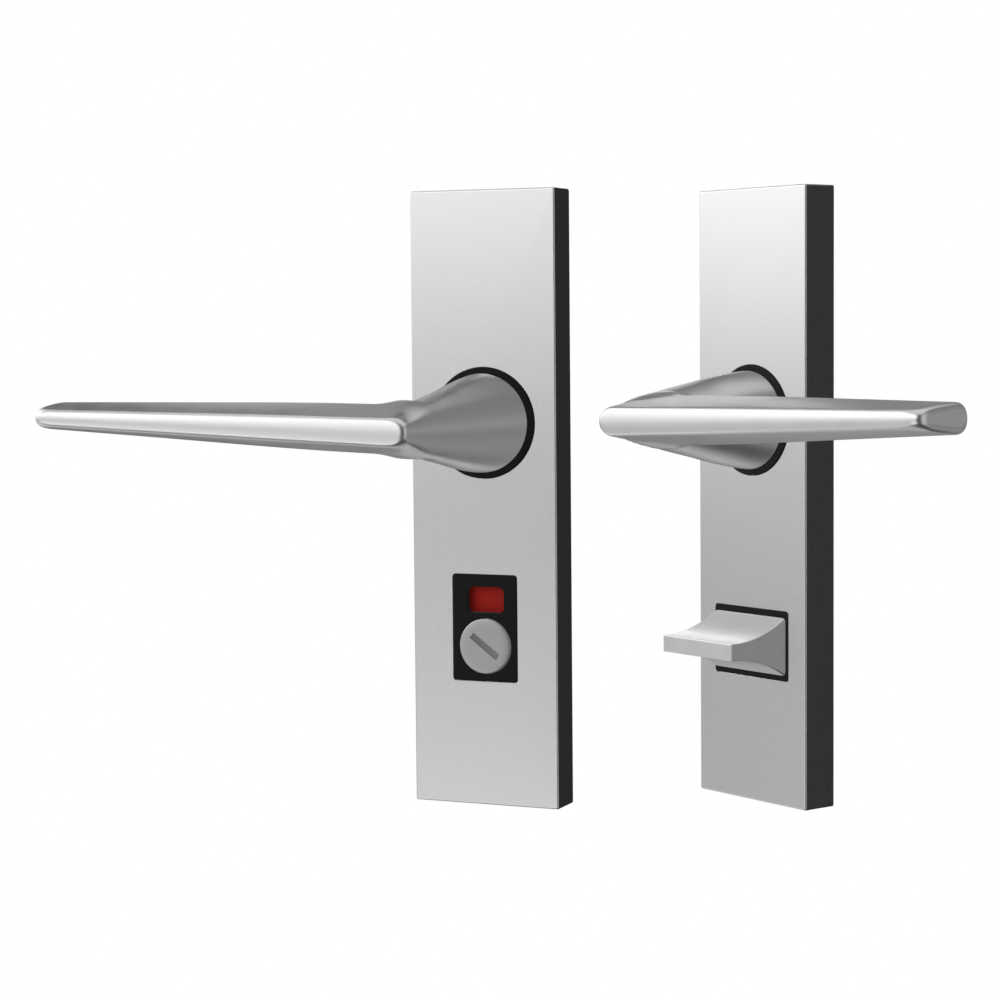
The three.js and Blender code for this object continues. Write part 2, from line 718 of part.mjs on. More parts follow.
function snibTail() {
  const half = TAIL_SQUARE / 2;
  const tail = block(-half, half, -half, half, -REACH_BEHIND, SNIB_TAIL_TOP);
  return tail.translate(0, -TURN_DROP, 0);
}

// ---- assembly -----------------------------------------------------------------------------------

const FINISHES = {
  plate: { color: 0xd0d1d2, roughness: 0.42, metalness: 1 },
  satin: { color: 0xc9cacc, roughness: 0.38, metalness: 1 },
  steel: { color: 0x9a9ca0, roughness: 0.45, metalness: 1 },
  springSteel: { color: 0x7d7f84, roughness: 0.35, metalness: 1 },
  black: { color: 0x1b1b1c, roughness: 0.55, metalness: 0 },
  white: { color: 0xe9e9e6, roughness: 0.5, metalness: 0 },
  red: { color: 0x8f2220, roughness: 0.5, metalness: 0 },
};

function piece(name, finish, geometry) {
  const mesh = new THREE.Mesh(geometry, new THREE.MeshStandardMaterial(FINISHES[finish]));
  mesh.name = name;
  return mesh;
}

// What both halves have: plate, bearing, spring cassette and lever. side is -1 for a lever to the left.
function half(prefix, side, insertOutline, insertY, fixingHoleRadius) {
  const group = new THREE.Group();
  group.add(
    piece(`${prefix}_cover`, "plate", coverPlate(insertOutline, insertY)),
    piece(`${prefix}_backplate`, "steel", backplate(fixingHoleRadius)),
    piece(`${prefix}_clip_upper`, "springSteel", coverClip(1)),
    piece(`${prefix}_clip_lower`, "springSteel", coverClip(-1)),
    piece(`${prefix}_bush`, "black", bush()),
    piece(`${prefix}_wave_washer`, "springSteel", waveWasher()),
    piece(`${prefix}_spring_housing`, "steel", springHousing(side)),
    piece(`${prefix}_return_spring`, "springSteel", returnSpring(side)),
  );
  const turning = new THREE.Group();
  turning.rotation.z = radians(side * LEVER_TILT);
  turning.add(
    piece(`${prefix}_lever`, "satin", lever(side)),
    piece(`${prefix}_spindle`, "steel", spindle()),
    piece(`${prefix}_grub_screw`, "steel", grubScrew()),
    piece(`${prefix}_circlip`, "springSteel", leverCirclip()),
    piece(`${prefix}_spring_cam`, "steel", springCam(side)),
  );
  group.add(turning);
  group.rotation.x = Math.PI / 2;
  return group;
}

function outsideHalf() {
  const outline = roundedRectangle(INSERT_SHORT, INSERT_LONG, 1);
  const insertY = -TURN_DROP + OUTSIDE_INSERT_RISE;
  const group = half("outside", -1, outline, insertY, POST_RADIUS + GAP);
  group.add(
    piece("outside_insert", "black", outsideInsert()),
    piece("coin_release", "satin", coinRelease()),
    piece("indicator_wheel", "white", indicatorWheel()),
    piece("indicator_flag", "red", indicatorFlag()),
    piece("release_circlip", "springSteel", stemCirclip(RELEASE_CLIP_Z)),
    piece("release_detent_ball", "steel", detentBall()),
    piece("release_detent_spring", "springSteel", detentSpring()),
  );
  for (const [place, y] of Object.entries(FIXING_HEIGHTS)) {
    group.add(piece(`outside_post_${place}`, "steel", fixingPost(y)));
  }
  return group;
}

function insideHalf() {
  const outline = roundedRectangle(INSERT_LONG, INSERT_SHORT, 1);
  const group = half("inside", 1, outline, -TURN_DROP, FIXING_RADIUS + GAP);
  group.add(
    piece("inside_insert", "black", insideInsert()),
    piece("snib", "satin", snib()),
    piece("snib_tail", "steel", snibTail()),
    piece("snib_circlip", "springSteel", stemCirclip(SNIB_CLIP_Z)),
    piece("snib_detent_ball", "steel", detentBall()),
    piece("snib_detent_spring", "springSteel", detentSpring()),
  );
  for (const [place, y] of Object.entries(FIXING_HEIGHTS)) {
    group.add(piece(`inside_screw_${place}`, "steel", fixingScrew(y)));
  }
  const turned = new THREE.Group();
  turned.add(group);
  turned.position.set(INSIDE_OFFSET_X, INSIDE_OFFSET_Y, 0);
  turned.rotation.z = radians(INSIDE_TURN);
  return turned;
}

const leverSet = new THREE.Group();
leverSet.add(outsideHalf(), insideHalf());

export default leverSet;
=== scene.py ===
"""The looks of a privacy door lever set: satin aluminium plates and levers with black nylon trim.

The outside half has an occupancy window and a coin release, the inside half a thumb turn.
Every shape is worked out in its half's own face coordinates, in millimetres: x to the right,
y up, z straight out of the door, with the lever's axis at x = y = 0 and the door's face at z = 0.
"""
import json
import math

import bmesh
import bpy
import numpy as np
from mathutils import Matrix, Vector

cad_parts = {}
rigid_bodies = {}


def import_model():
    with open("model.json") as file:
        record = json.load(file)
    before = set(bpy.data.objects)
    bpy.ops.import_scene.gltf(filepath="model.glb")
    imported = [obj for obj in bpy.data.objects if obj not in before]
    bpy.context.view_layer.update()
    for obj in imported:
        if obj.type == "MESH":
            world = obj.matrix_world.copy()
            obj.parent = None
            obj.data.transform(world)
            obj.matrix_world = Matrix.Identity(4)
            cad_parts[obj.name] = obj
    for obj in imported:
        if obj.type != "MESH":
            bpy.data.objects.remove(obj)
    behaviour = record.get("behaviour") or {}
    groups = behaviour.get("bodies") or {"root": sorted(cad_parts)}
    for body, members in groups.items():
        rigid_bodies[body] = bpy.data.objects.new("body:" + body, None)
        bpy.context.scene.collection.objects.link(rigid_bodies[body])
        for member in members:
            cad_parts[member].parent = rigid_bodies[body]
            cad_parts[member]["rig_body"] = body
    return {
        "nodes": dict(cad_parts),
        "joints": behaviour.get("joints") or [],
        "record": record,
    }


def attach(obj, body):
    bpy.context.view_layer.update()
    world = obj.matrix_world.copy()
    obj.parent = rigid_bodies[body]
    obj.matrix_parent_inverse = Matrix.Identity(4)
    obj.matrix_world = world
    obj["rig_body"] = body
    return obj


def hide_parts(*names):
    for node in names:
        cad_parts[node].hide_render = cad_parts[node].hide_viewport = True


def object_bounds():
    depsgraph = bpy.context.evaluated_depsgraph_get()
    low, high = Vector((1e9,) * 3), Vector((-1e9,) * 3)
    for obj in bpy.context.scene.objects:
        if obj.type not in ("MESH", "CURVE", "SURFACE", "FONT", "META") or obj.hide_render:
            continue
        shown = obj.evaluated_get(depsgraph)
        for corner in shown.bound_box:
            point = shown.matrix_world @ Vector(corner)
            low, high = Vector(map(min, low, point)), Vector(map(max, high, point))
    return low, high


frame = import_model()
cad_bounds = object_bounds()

MM = 0.001
SHARP = math.radians(34)  # edges that bend more than this stay sharp

# Plate
EDGE_RADIUS = 0.5
WALL = 1.5
LEVER_HOLE_RADIUS = 15.0
HOLE_EDGE = 0.15
SPINDLE_HOLE_RADIUS = 6.3
TAIL_HOLE_RADIUS = 4.3
BACKPLATE_CORNER = 1.0
BUSH_PLAY = 0.25
BUSH_GAP = 0.1
BUSH_COLLAR_TOP = 8.7

# Fixings, at these heights from the lever's axis
FIXINGS = {"upper": 42.0, "lower": -84.0}
SCREW_RADIUS = 2.0
SCREW_PITCH = 0.7
SCREW_THREAD = 0.32
SCREW_HEAD_RADIUS = 4.0
SCREW_HEAD_FOOT = 1.8
SCREW_SOCKET_RADIUS = 1.6
POST_RADIUS = 3.9
POST_FLANGE_RADIUS = 6.0
POST_FLANGE_FOOT = 1.8
POST_BORE = (2.0, 1.7)
POST_RIDGES = 14
FIXING_PLAY = 0.3

# Lever, in its own u (along the grip), v (up) and n (out of the door); pairs run from root to tip
LEVER_TILT = 1.7  # degrees, tips up
LEVER_REACH = 109.3
PROJECTION = 60.0
GRIP_REAR = 43.5
FRONT_HALF = (3.6, 2.0)
REAR_HALF = (7.8, 3.7)
FLANK_CROWN = 0.5
FRONT_CROWN = 0.35
REAR_CROWN = 0.5
TIP_BULGE = 0.4
FLANK_SLOPE = 0.97
EDGE_ROUNDING = 3.0
FRONT_ROUNDING = 0.9
ROOT_END = -0.8
ROOT_STRETCH = 1.3
ROOT_POWER = 2.2
ROOT_PINCH = 0.3
ROOT_ROUNDING = 0.8
NECK_RADIUS = 13.2
NECK_START = 11.2
NECK_FRONT = 59.0
NECK_FRONT_ROUNDING = 1.2
NECK_OUTER_TIP = 0.25
NECK_TIP_HALF = 1.4
NECK_CURVE = 1.42
NECK_INNER_TAPER = 0.06
NECK_SQUARENESS = 0.7
SQUARENESS_RISE = (26, 46)
NECK_SHOULDER = 0.4
SHOULDER_RISE = (30, 43)
SHOULDER_FALL = (46, 58)
JOINT_ROUNDING = 0.7
FLANK_ROUNDING = 2.8
CORNER_ROUNDING = 3.5
ELBOW_PIVOT = (24.0, 30.0)
GRIP_SPINE = 52.0
RAY_REACH = 30.0
RAY_STEP = 0.5
RAY_HALVINGS = 26
JOURNAL_RADIUS = 11.0
JOURNAL_FOOT = 7.0
TAIL_RADIUS = 8.5
TAIL_FOOT = 1.9
SOCKET_HALF = 4.1
SOCKET_END = 25.0
SPINDLE_SIDE = 8.0
SPINDLE_CORNER = 0.45

# Privacy furniture
TURN_DROP = 60.0  # the turn axis, below the lever's
INSERT_SHORT = 18.8
INSERT_LONG = 28.9
INSERT_RISE = 4.9  # the outside insert's centre, above the turn axis
INSERT_CORNER = 1.0
INSERT_GAP = 0.1
INSERT_LIP = 1.5
INSERT_BACK = 8.0
OUTSIDE_INSERT = (INSERT_SHORT, INSERT_LONG, INSERT_RISE)
INSIDE_INSERT = (INSERT_LONG, INSERT_SHORT, 0.0)
WINDOW = (11.1, 7.1, 1.5)  # width, height and corner radius
WINDOW_RISE = 12.5  # above the turn axis
DISC_RADIUS = 7.4
DISC_EDGE = 0.3
DISC_CROWN = 0.12
DISC_FLAT_RADIUS = 5.4
DISC_THICKNESS = 1.7
STEM_RADIUS = 4.0
TAIL_SIDE = 5.0
TAIL_LENGTH = 14.0
SLOT_ANGLE = -37  # degrees
SLOT_LONG = 4.8  # half its length
SLOT_WIDE = 0.92  # half its width
SLOT_DEPTH = 0.6
SLOT_SAG = 0.35
SLOT_STEPS = 16
FLAG_RADII = (8.0, 17.0)
FLAG_ANGLES = (60, 128)  # degrees round the turn axis
SNIB_WIDTH = 27.5
SNIB_BASE = 15.3
SNIB_TIP = 4.5
SNIB_FLARE = 2.2
SNIB_FOOT = 10.9
SNIB_CORNER = 1.0
SNIB_TIP_CORNER = 0.28

# Stage and camera, in metres and degrees
FLOOR_DROP = 0.3
FLOOR_REACH = 3.0
FLOOR_BEND = 1.2
WALL_RADIUS = 1.6
CAMERA_AZIMUTH = 23.4
CAMERA_ELEVATION = 4.0
CAMERA_ROLL = -0.5
CAMERA_AIM = (0.0003, -0.0003, -0.0213)
CAMERA_DISTANCE = 0.678


# ---- the two halves -------------------------------------------------------------------------------


class Half:
    """One half of the set: its name, its lever's side (-1 left, 1 right) and where it stands.

    rise is how far the neck's front sits above its foot, lean how far it sits outwards."""

    def __init__(self, name, side, rise, lean):
        joint = next(j for j in frame["joints"] if j["name"] == f"{name}_lever_turn")
        out = -side * Vector(joint["axis"]).normalized()
        up = Vector((0, 0, 1))
        right = up.cross(out)
        self.name = name
        self.side = side
        self.rise = rise
        self.lean = lean
        self.matrix = Matrix.Translation(joint["pos_m"]) @ Matrix(
            [[right[i] * MM, up[i] * MM, out[i] * MM] for i in range(3)]
        ).to_4x4()
        self.inverse = self.matrix.inverted()

    def box(self, node):
        """Lowest and highest corners of a CAD node in face coordinates."""
        points = [self.inverse @ v.co for v in frame["nodes"][node].data.vertices]
        low = Vector([min(p[i] for p in points) for i in range(3)])
        high = Vector([max(p[i] for p in points) for i in range(3)])
        return low, high

    def top(self, node):
        """How far a CAD node comes out of the door."""
        return self.box(node)[1].z


OUTSIDE = Half("outside", -1, -0.75, 0.0)
INSIDE = Half("inside", 1, 1.05, 3.8)


# ---- outlines and solids ----------------------------------------------------------------------------


def rounded_rectangle(width, height, radius, steps=6):
    """Points round a rectangle with rounded corners, anticlockwise."""
    points = []
    for quarter, (sx, sy) in enumerate(((1, 1), (-1, 1), (-1, -1), (1, -1))):
        cx = sx * (width / 2 - radius)
        cy = sy * (height / 2 - radius)
        for k in range(steps + 1):
            a = math.pi / 2 * (quarter + k / steps)
            points.append((cx + radius * math.cos(a), cy + radius * math.sin(a)))
    return points


def circle(radius, count=96):
    turns = (2 * math.pi * k / count for k in range(count))
    return [(radius * math.cos(a), radius * math.sin(a)) for a in turns]


def moved(points, dx, dy):
    return [(x + dx, y + dy) for x, y in points]


class Solid:
    """A mesh built loop by loop in face coordinates."""

    def __init__(self):
        self.bm = bmesh.new()

    def loop(self, points, z):
        return [self.bm.verts.new((x, y, z)) for x, y in points]

    def strip(self, a, b):
        for k in range(len(a)):
            m = (k + 1) % len(a)
            self.bm.faces.new((a[k], a[m], b[m], b[k]))

    def strips(self, loops, closed=False):
        pairs = zip(loops, loops[1:] + loops[:1]) if closed else zip(loops, loops[1:])
        for a, b in pairs:
            self.strip(a, b)

    def cap(self, loop):
        self.bm.faces.new(loop)

    def cap_ends(self, loops):
        self.cap(loops[0])
        self.cap(loops[-1])

    def rod(self, loops):
        """A closed body through the loops, with a flat face at each end."""
        self.strips(loops)
        self.cap_ends(loops)

    def fill(self, *loops):
        """A flat face between an outline and the holes in it."""
        edges = []
        for loop in loops:
            for k in range(len(loop)):
                pair = (loop[k], loop[(k + 1) % len(loop)])
                edges.append(self.bm.edges.get(pair) or self.bm.edges.new(pair))
        bmesh.ops.triangle_fill(self.bm, edges=edges, use_beauty=True)


def edge_arc(radius, steps=3):
    """(inset, drop) pairs round a rounded edge, from the side to the face."""
    angles = (math.pi / 2 * k / steps for k in range(steps + 1))
    return [(radius * (1 - math.cos(a)), radius * (1 - math.sin(a))) for a in angles]


def show(name, mesh, material, body, replaces=()):
    """Makes the piece and says what it rides on, its finish and what it stands for."""
    obj = bpy.data.objects.new(name, mesh)
    bpy.context.scene.collection.objects.link(obj)
    mesh.materials.append(material)
    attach(obj, body)
    if replaces:
        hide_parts(*replaces)
    return obj


def piece(name, solid, half, material, body, replaces=()):
    """Makes a piece of a solid, smooth except at its sharp edges."""
    bm = solid.bm
    bmesh.ops.recalc_face_normals(bm, faces=bm.faces)
    for face in bm.faces:
        face.smooth = True
    for edge in bm.edges:
        edge.smooth = edge.calc_face_angle(0) < SHARP
    bm.transform(half.matrix)
    mesh = bpy.data.meshes.new(name)
    bm.to_mesh(mesh)
    bm.free()
    obj = show(name, mesh, material, body, replaces)
    obj.modifiers.new("weighted", "WEIGHTED_NORMAL").keep_sharp = True
    return obj


# ---- materials --------------------------------------------------------------------------------------


class Nodes:
    """A small helper round one node material."""

    def __init__(self, name, metallic, roughness, color):
        self.material = bpy.data.materials.new(name)
        self.material.use_nodes = True
        self.tree = self.material.node_tree
        self.bsdf = self.tree.nodes["Principled BSDF"]
        self.bsdf.inputs["Metallic"].default_value = metallic
        self.bsdf.inputs["Roughness"].default_value = roughness
        self.bsdf.inputs["Base Color"].default_value = (*color, 1)
        self.place = self.tree.nodes.new("ShaderNodeTexCoord").outputs["Object"]

    def link(self, a, b):
        self.tree.links.new(a, b)

    def noise(self, scale, detail=3.0, roughness=0.55):
        """Noise with its own scale along x, y and z, in cells per metre."""
        mapping = self.tree.nodes.new("ShaderNodeMapping")
        mapping.inputs["Scale"].default_value = scale
        self.link(self.place, mapping.inputs["Vector"])
        noise = self.tree.nodes.new("ShaderNodeTexNoise")
        noise.inputs["Scale"].default_value = 1.0
        noise.inputs["Detail"].default_value = detail
        noise.inputs["Roughness"].default_value = roughness
        self.link(mapping.outputs["Vector"], noise.inputs["Vector"])
        return noise.outputs["Fac"]

    def span(self, value, low, high):
        """Maps a value's middle range to low..high."""
        node = self.tree.nodes.new("ShaderNodeMapRange")
        node.inputs["From Min"].default_value = 0.3
        node.inputs["From Max"].default_value = 0.7
        node.inputs["To Min"].default_value = low
        node.inputs["To Max"].default_value = high
        self.link(value, node.inputs["Value"])
        return node.outputs["Result"]

    def mix_colors(self, factor, a, b):
        node = self.tree.nodes.new("ShaderNodeMix")
        node.data_type = "RGBA"
        node.inputs["A"].default_value = (*a, 1)
        node.inputs["B"].default_value = (*b, 1)
        self.link(factor, node.inputs["Factor"])
        self.link(node.outputs["Result"], self.bsdf.inputs["Base Color"])

    def bump(self, height, strength, distance):
        node = self.tree.nodes.new("ShaderNodeBump")
        node.inputs["Strength"].default_value = strength
        node.inputs["Distance"].default_value = distance
        self.link(height, node.inputs["Height"])
        self.link(node.outputs["Normal"], self.bsdf.inputs["Normal"])


def brushed_aluminium():
    """Anodised plate: fine grain brushed up and down."""
    m = Nodes("brushed_aluminium", 1.0, 0.3, (0.8, 0.8, 0.81))
    grain = m.noise((6500, 6500, 500), 3.0, 0.5)
    m.link(m.span(grain, 0.27, 0.31), m.bsdf.inputs["Roughness"])
    m.mix_colors(grain, (0.77, 0.772, 0.776), (0.82, 0.821, 0.824))
    m.bump(grain, 0.06, 0.00001)
    return m.material


def blasted_aluminium():
    """Levers and thumb turn: fine bead-blasted and anodised."""
    m = Nodes("blasted_aluminium", 1.0, 0.4, (0.83, 0.83, 0.83))
    grain = m.noise((5200, 5200, 5200), 2.0, 0.5)
    cloud = m.noise((160, 160, 160), 3.0, 0.5)
    m.link(m.span(cloud, 0.33, 0.38), m.bsdf.inputs["Roughness"])
    m.mix_colors(cloud, (0.82, 0.822, 0.826), (0.85, 0.85, 0.853))
    m.bump(grain, 0.25, 0.00001)
    return m.material


def cast_aluminium():
    """Coin release: a duller, slightly mottled casting."""
    m = Nodes("cast_aluminium", 1.0, 0.45, (0.5, 0.5, 0.5))
    grain = m.noise((2400, 2400, 2400), 3.0, 0.6)
    m.link(m.span(grain, 0.4, 0.5), m.bsdf.inputs["Roughness"])
    m.mix_colors(grain, (0.4, 0.4, 0.405), (0.56, 0.56, 0.56))
    m.bump(grain, 0.4, 0.00003)
    return m.material


# Painted shade: dark grey metal for the sheet in the coin slot, standing for the shade in its recess.
def milled_metal():
    m = Nodes("milled_metal", 1.0, 0.35, (0.25, 0.25, 0.25))
    grain = m.noise((1800, 1800, 1800), 3.0, 0.6)
    m.link(m.span(grain, 0.3, 0.45), m.bsdf.inputs["Roughness"])
    m.mix_colors(grain, (0.16, 0.16, 0.16), (0.3, 0.3, 0.3))
    return m.material


def black_nylon():
    m = Nodes("black_nylon", 0.0, 0.5, (0.008, 0.008, 0.008))
    grain = m.noise((4200, 4200, 4200), 2.0, 0.5)
    m.link(m.span(grain, 0.42, 0.56), m.bsdf.inputs["Roughness"])
    m.mix_colors(grain, (0.004, 0.004, 0.0045), (0.008, 0.008, 0.0085))
    m.bump(grain, 0.2, 0.00001)
    m.bsdf.inputs["Specular IOR Level"].default_value = 0.16
    return m.material


def indicator(name, color):
    m = Nodes(name, 0.0, 0.6, color)
    cloud = m.noise((900, 900, 900), 3.0, 0.5)
    m.link(m.span(cloud, 0.5, 0.6), m.bsdf.inputs["Roughness"])
    m.mix_colors(cloud, tuple(0.93 * c for c in color), color)
    m.bsdf.inputs["Specular IOR Level"].default_value = 0.15
    return m.material


def zinc_steel():
    m = Nodes("zinc_steel", 1.0, 0.4, (0.58, 0.59, 0.6))
    cloud = m.noise((220, 220, 220), 5.0, 0.65)
    m.link(m.span(cloud, 0.3, 0.48), m.bsdf.inputs["Roughness"])
    m.mix_colors(cloud, (0.52, 0.53, 0.54), (0.66, 0.67, 0.68))
    m.bump(cloud, 0.1, 0.00002)
    return m.material


def spring_steel():
    m = Nodes("spring_steel", 1.0, 0.35, (0.42, 0.42, 0.43))
    cloud = m.noise((600, 600, 600), 4.0, 0.6)
    m.link(m.span(cloud, 0.28, 0.42), m.bsdf.inputs["Roughness"])
    m.mix_colors(cloud, (0.36, 0.36, 0.37), (0.47, 0.47, 0.48))
    return m.material


MATERIALS = {
    "plate": brushed_aluminium(),
    "lever": blasted_aluminium(),
    "steel": zinc_steel(),
    "spring_steel": spring_steel(),
    "black_plastic": black_nylon(),
    "indicator_white": indicator("indicator_white", (0.85, 0.85, 0.83)),
    "indicator_red": indicator("indicator_red", (0.62, 0.02, 0.012)),
}


def dress_nodes():
    """Gives every CAD node the material of its slot, for those that stay in view."""
    slots = {s["node"]: s["material_slot"] for s in frame["record"]["subparts"]}
    for name, node in frame["nodes"].items():
        node.data.materials.clear()
        node.data.materials.append(MATERIALS[slots[name]])


# ---- plates and bushes ------------------------------------------------------------------------------


def cover(half, insert_size):
    """The flat cover: a tray with a rounded front edge, a hole for the lever and one for the insert."""
    name = f"{half.name}_cover"
    low, high = half.box(name)
    width = high.x - low.x
    height = high.y - low.y
    depth = high.z
    middle = (low.y + high.y) / 2
    back_edge = 0.2
    hole_width, hole_height, hole_rise = insert_size
    solid = Solid()

    def outline(inset, z):
        corner = max(EDGE_RADIUS + 0.1 - inset, 0.06)
        points = rounded_rectangle(width - 2 * inset, height - 2 * inset, corner)
        return solid.loop(moved(points, 0, middle), z)

    def lever_hole(grow):
        return circle(LEVER_HOLE_RADIUS + grow)

    def insert_hole(grow):
        room = 2 * (INSERT_GAP + grow)
        points = rounded_rectangle(hole_width + room, hole_height + room, INSERT_CORNER + grow)
        return moved(points, 0, hole_rise - TURN_DROP)

    outer = [outline(inset, depth - drop) for inset, drop in edge_arc(EDGE_RADIUS)]
    back = [outline(WALL, 0), outline(back_edge, 0), outline(0, back_edge)]
    pocket = outline(WALL, depth - WALL)
    solid.strips([pocket, *back, *outer])

    rims = []
    unders = []
    arc = [(HOLE_EDGE - inset, drop) for inset, drop in edge_arc(HOLE_EDGE)][::-1]
    for shape in (lever_hole, insert_hole):
        loops = [solid.loop(shape(grow), depth - drop) for grow, drop in arc]
        loops.append(solid.loop(shape(0), depth - WALL))
        solid.strips(loops)
        rims.append(loops[0])
        unders.append(loops[-1])
    solid.fill(outer[-1], *rims)
    solid.fill(pocket, *unders)
    piece(f"{name}_fine", solid, half, MATERIALS["plate"], "root", [name])


def lathe(solid, profile, centre=(0, 0), count=96, closed=True):
    """Loops round a centre, one for each (radius, z) of the profile."""
    loops = [solid.loop(moved(circle(r, count), *centre), z) for r, z in profile]
    solid.strips(loops, closed)
    return loops


def bush(half):
    """The bearing ring in the cover's hole, with a wider collar behind it."""
    name = f"{half.name}_bush"
    low, high = half.box(name)
    top = high.z
    inner = JOURNAL_RADIUS + BUSH_PLAY
    outer = LEVER_HOLE_RADIUS - BUSH_GAP
    solid = Solid()
    rim = [(outer - inset, top - drop) for inset, drop in edge_arc(0.35)]
    bore = [(inner + inset, top - drop) for inset, drop in edge_arc(0.25)][::-1]
    profile = [(inner, low.z), (high.x, low.z), (high.x, BUSH_COLLAR_TOP), (outer, BUSH_COLLAR_TOP)]
    lathe(solid, profile + rim + bore)
    slot = "black_plastic"
    piece(f"{name}_fine", solid, half, MATERIALS[slot], "root", [name])


# ---- lever --------------------------------------------------------------------------------------


def lerp(a, b, t):
    return a + (b - a) * t


def smoothstep(x, low, high):
    t = np.clip((x - low) / (high - low), 0, 1)
    return t * t * (3 - 2 * t)


def smooth_max(a, b, k):
    """The larger of two fields, with a rounding about k wide where they meet."""
    return np.maximum(a, b) + np.maximum(k - np.abs(a - b), 0) ** 2 / (4 * k)


def smooth_min(a, b, k):
    return -smooth_max(-a, -b, k)


def neck_field(u, v, n):
    """Below zero inside the oval cone that rises from the bush to the elbow."""
    share = (n - NECK_START) / (PROJECTION - NECK_START)
    tall = lerp(NECK_RADIUS, NECK_TIP_HALF, np.clip(share, 0, 2) ** NECK_CURVE)
    shoulder = smoothstep(n, *SHOULDER_RISE) * (1 - smoothstep(n, *SHOULDER_FALL))
    tall = tall + NECK_SHOULDER * shoulder
    outer = lerp(NECK_RADIUS, NECK_OUTER_TIP, share)
    inner = NECK_RADIUS - NECK_INNER_TAPER * (n - NECK_START)
    inner = lerp(inner, NECK_TIP_HALF, smoothstep(n, GRIP_REAR, PROJECTION))
    wide = np.where(u < 0, outer, inner)
    power = 2 + NECK_SQUARENESS * smoothstep(n, *SQUARENESS_RISE) * smoothstep(u, 0, 3)
    round_trip = (np.abs(u / wide) ** power + np.abs(v / tall) ** power) ** (1 / power)
    side = (round_trip - 1) * np.minimum(wide, tall)
    return smooth_max(side, n - NECK_FRONT, NECK_FRONT_ROUNDING)


def grip_field(u, v, n):
    """Below zero inside the tapered bar, whose root end is rounded like a tongue.

    FLANK_SLOPE is the cosine of the flanks' slope, which turns a height into a distance."""
    along = np.clip(u / LEVER_REACH, 0, 1)
    across = np.clip((n - GRIP_REAR) / (PROJECTION - GRIP_REAR), 0, 1)
    front_half = lerp(*FRONT_HALF, along)
    rear_half = lerp(*REAR_HALF, along) - ROOT_PINCH * (1 - smoothstep(u, 8, 30))
    crown = 4 * FLANK_CROWN * smoothstep(u, 10, 50) * across * (1 - across)
    half = lerp(rear_half, front_half, across) + crown
    stretch = lerp(1, ROOT_STRETCH, across**2)
    past_end = np.maximum(ROOT_END + stretch * half - u, 0) / stretch
    round_end = (past_end**ROOT_POWER + np.abs(v) ** ROOT_POWER) ** (1 / ROOT_POWER)
    side = FLANK_SLOPE * (round_end - half)
    front = n - PROJECTION + FRONT_CROWN * (v / front_half) ** 2
    rear = GRIP_REAR - n + REAR_CROWN * (v / rear_half) ** 2
    tip = u - LEVER_REACH - 4 * TIP_BULGE * across * (1 - across)
    body = smooth_max(side, rear, EDGE_ROUNDING)
    cap = smooth_max(front, tip, EDGE_ROUNDING)
    root = ROOT_ROUNDING * (1 - smoothstep(u, 0, 6))
    end = smoothstep(u, LEVER_REACH - 6, LEVER_REACH)
    return smooth_max(body, cap, FRONT_ROUNDING + root + end)


def lever_field(u, v, n):
    """The whole handle: a tight joint at the front of the elbow and a soft one behind it."""
    flank = FLANK_ROUNDING * smoothstep(PROJECTION - n, 0.5, 12)
    corner = CORNER_ROUNDING * smoothstep(u, 4, 10) * smoothstep(-n, -48, -40)
    return smooth_min(neck_field(u, v, n), grip_field(u, v, n), JOINT_ROUNDING + flank + corner)


def distance_along(origin, direction):
    """How far along each ray the handle's surface lies: steps outwards, then halvings."""

    def is_outside(reach):
        return lever_field(*(origin + direction * reach[:, None]).T) > 0

    found = np.full(len(origin), RAY_REACH)
    todo = np.ones(len(origin), bool)
    for reach in np.arange(RAY_STEP, RAY_REACH, RAY_STEP):
        outside = is_outside(np.full(len(origin), reach))
        found = np.where(todo & outside, reach, found)
        todo &= ~outside
    low = found - RAY_STEP
    for _ in range(RAY_HALVINGS):
        middle = (low + found) / 2
        outside = is_outside(middle)
        found = np.where(outside, middle, found)
        low = np.where(outside, low, middle)
    return found


def section_angles(front_corner, rear_corner):
    """Angles round a section from the front: close together where its edges are."""
    front_width = 0.1
    rear_width = 0.3
    stops = [0, front_corner - front_width, front_corner + front_width]
    stops += [rear_corner - rear_width, rear_corner + rear_width, math.pi]
    counts = (14, 8, 20, 12, 8)
    half = [0.0]
    for a, b, count in zip(stops, stops[1:], counts):
        half += [a + (b - a) * (k + 1) / count for k in range(count)]
    return np.array(half[:-1] + [math.pi] + [2 * math.pi - a for a in half[-2:0:-1]])


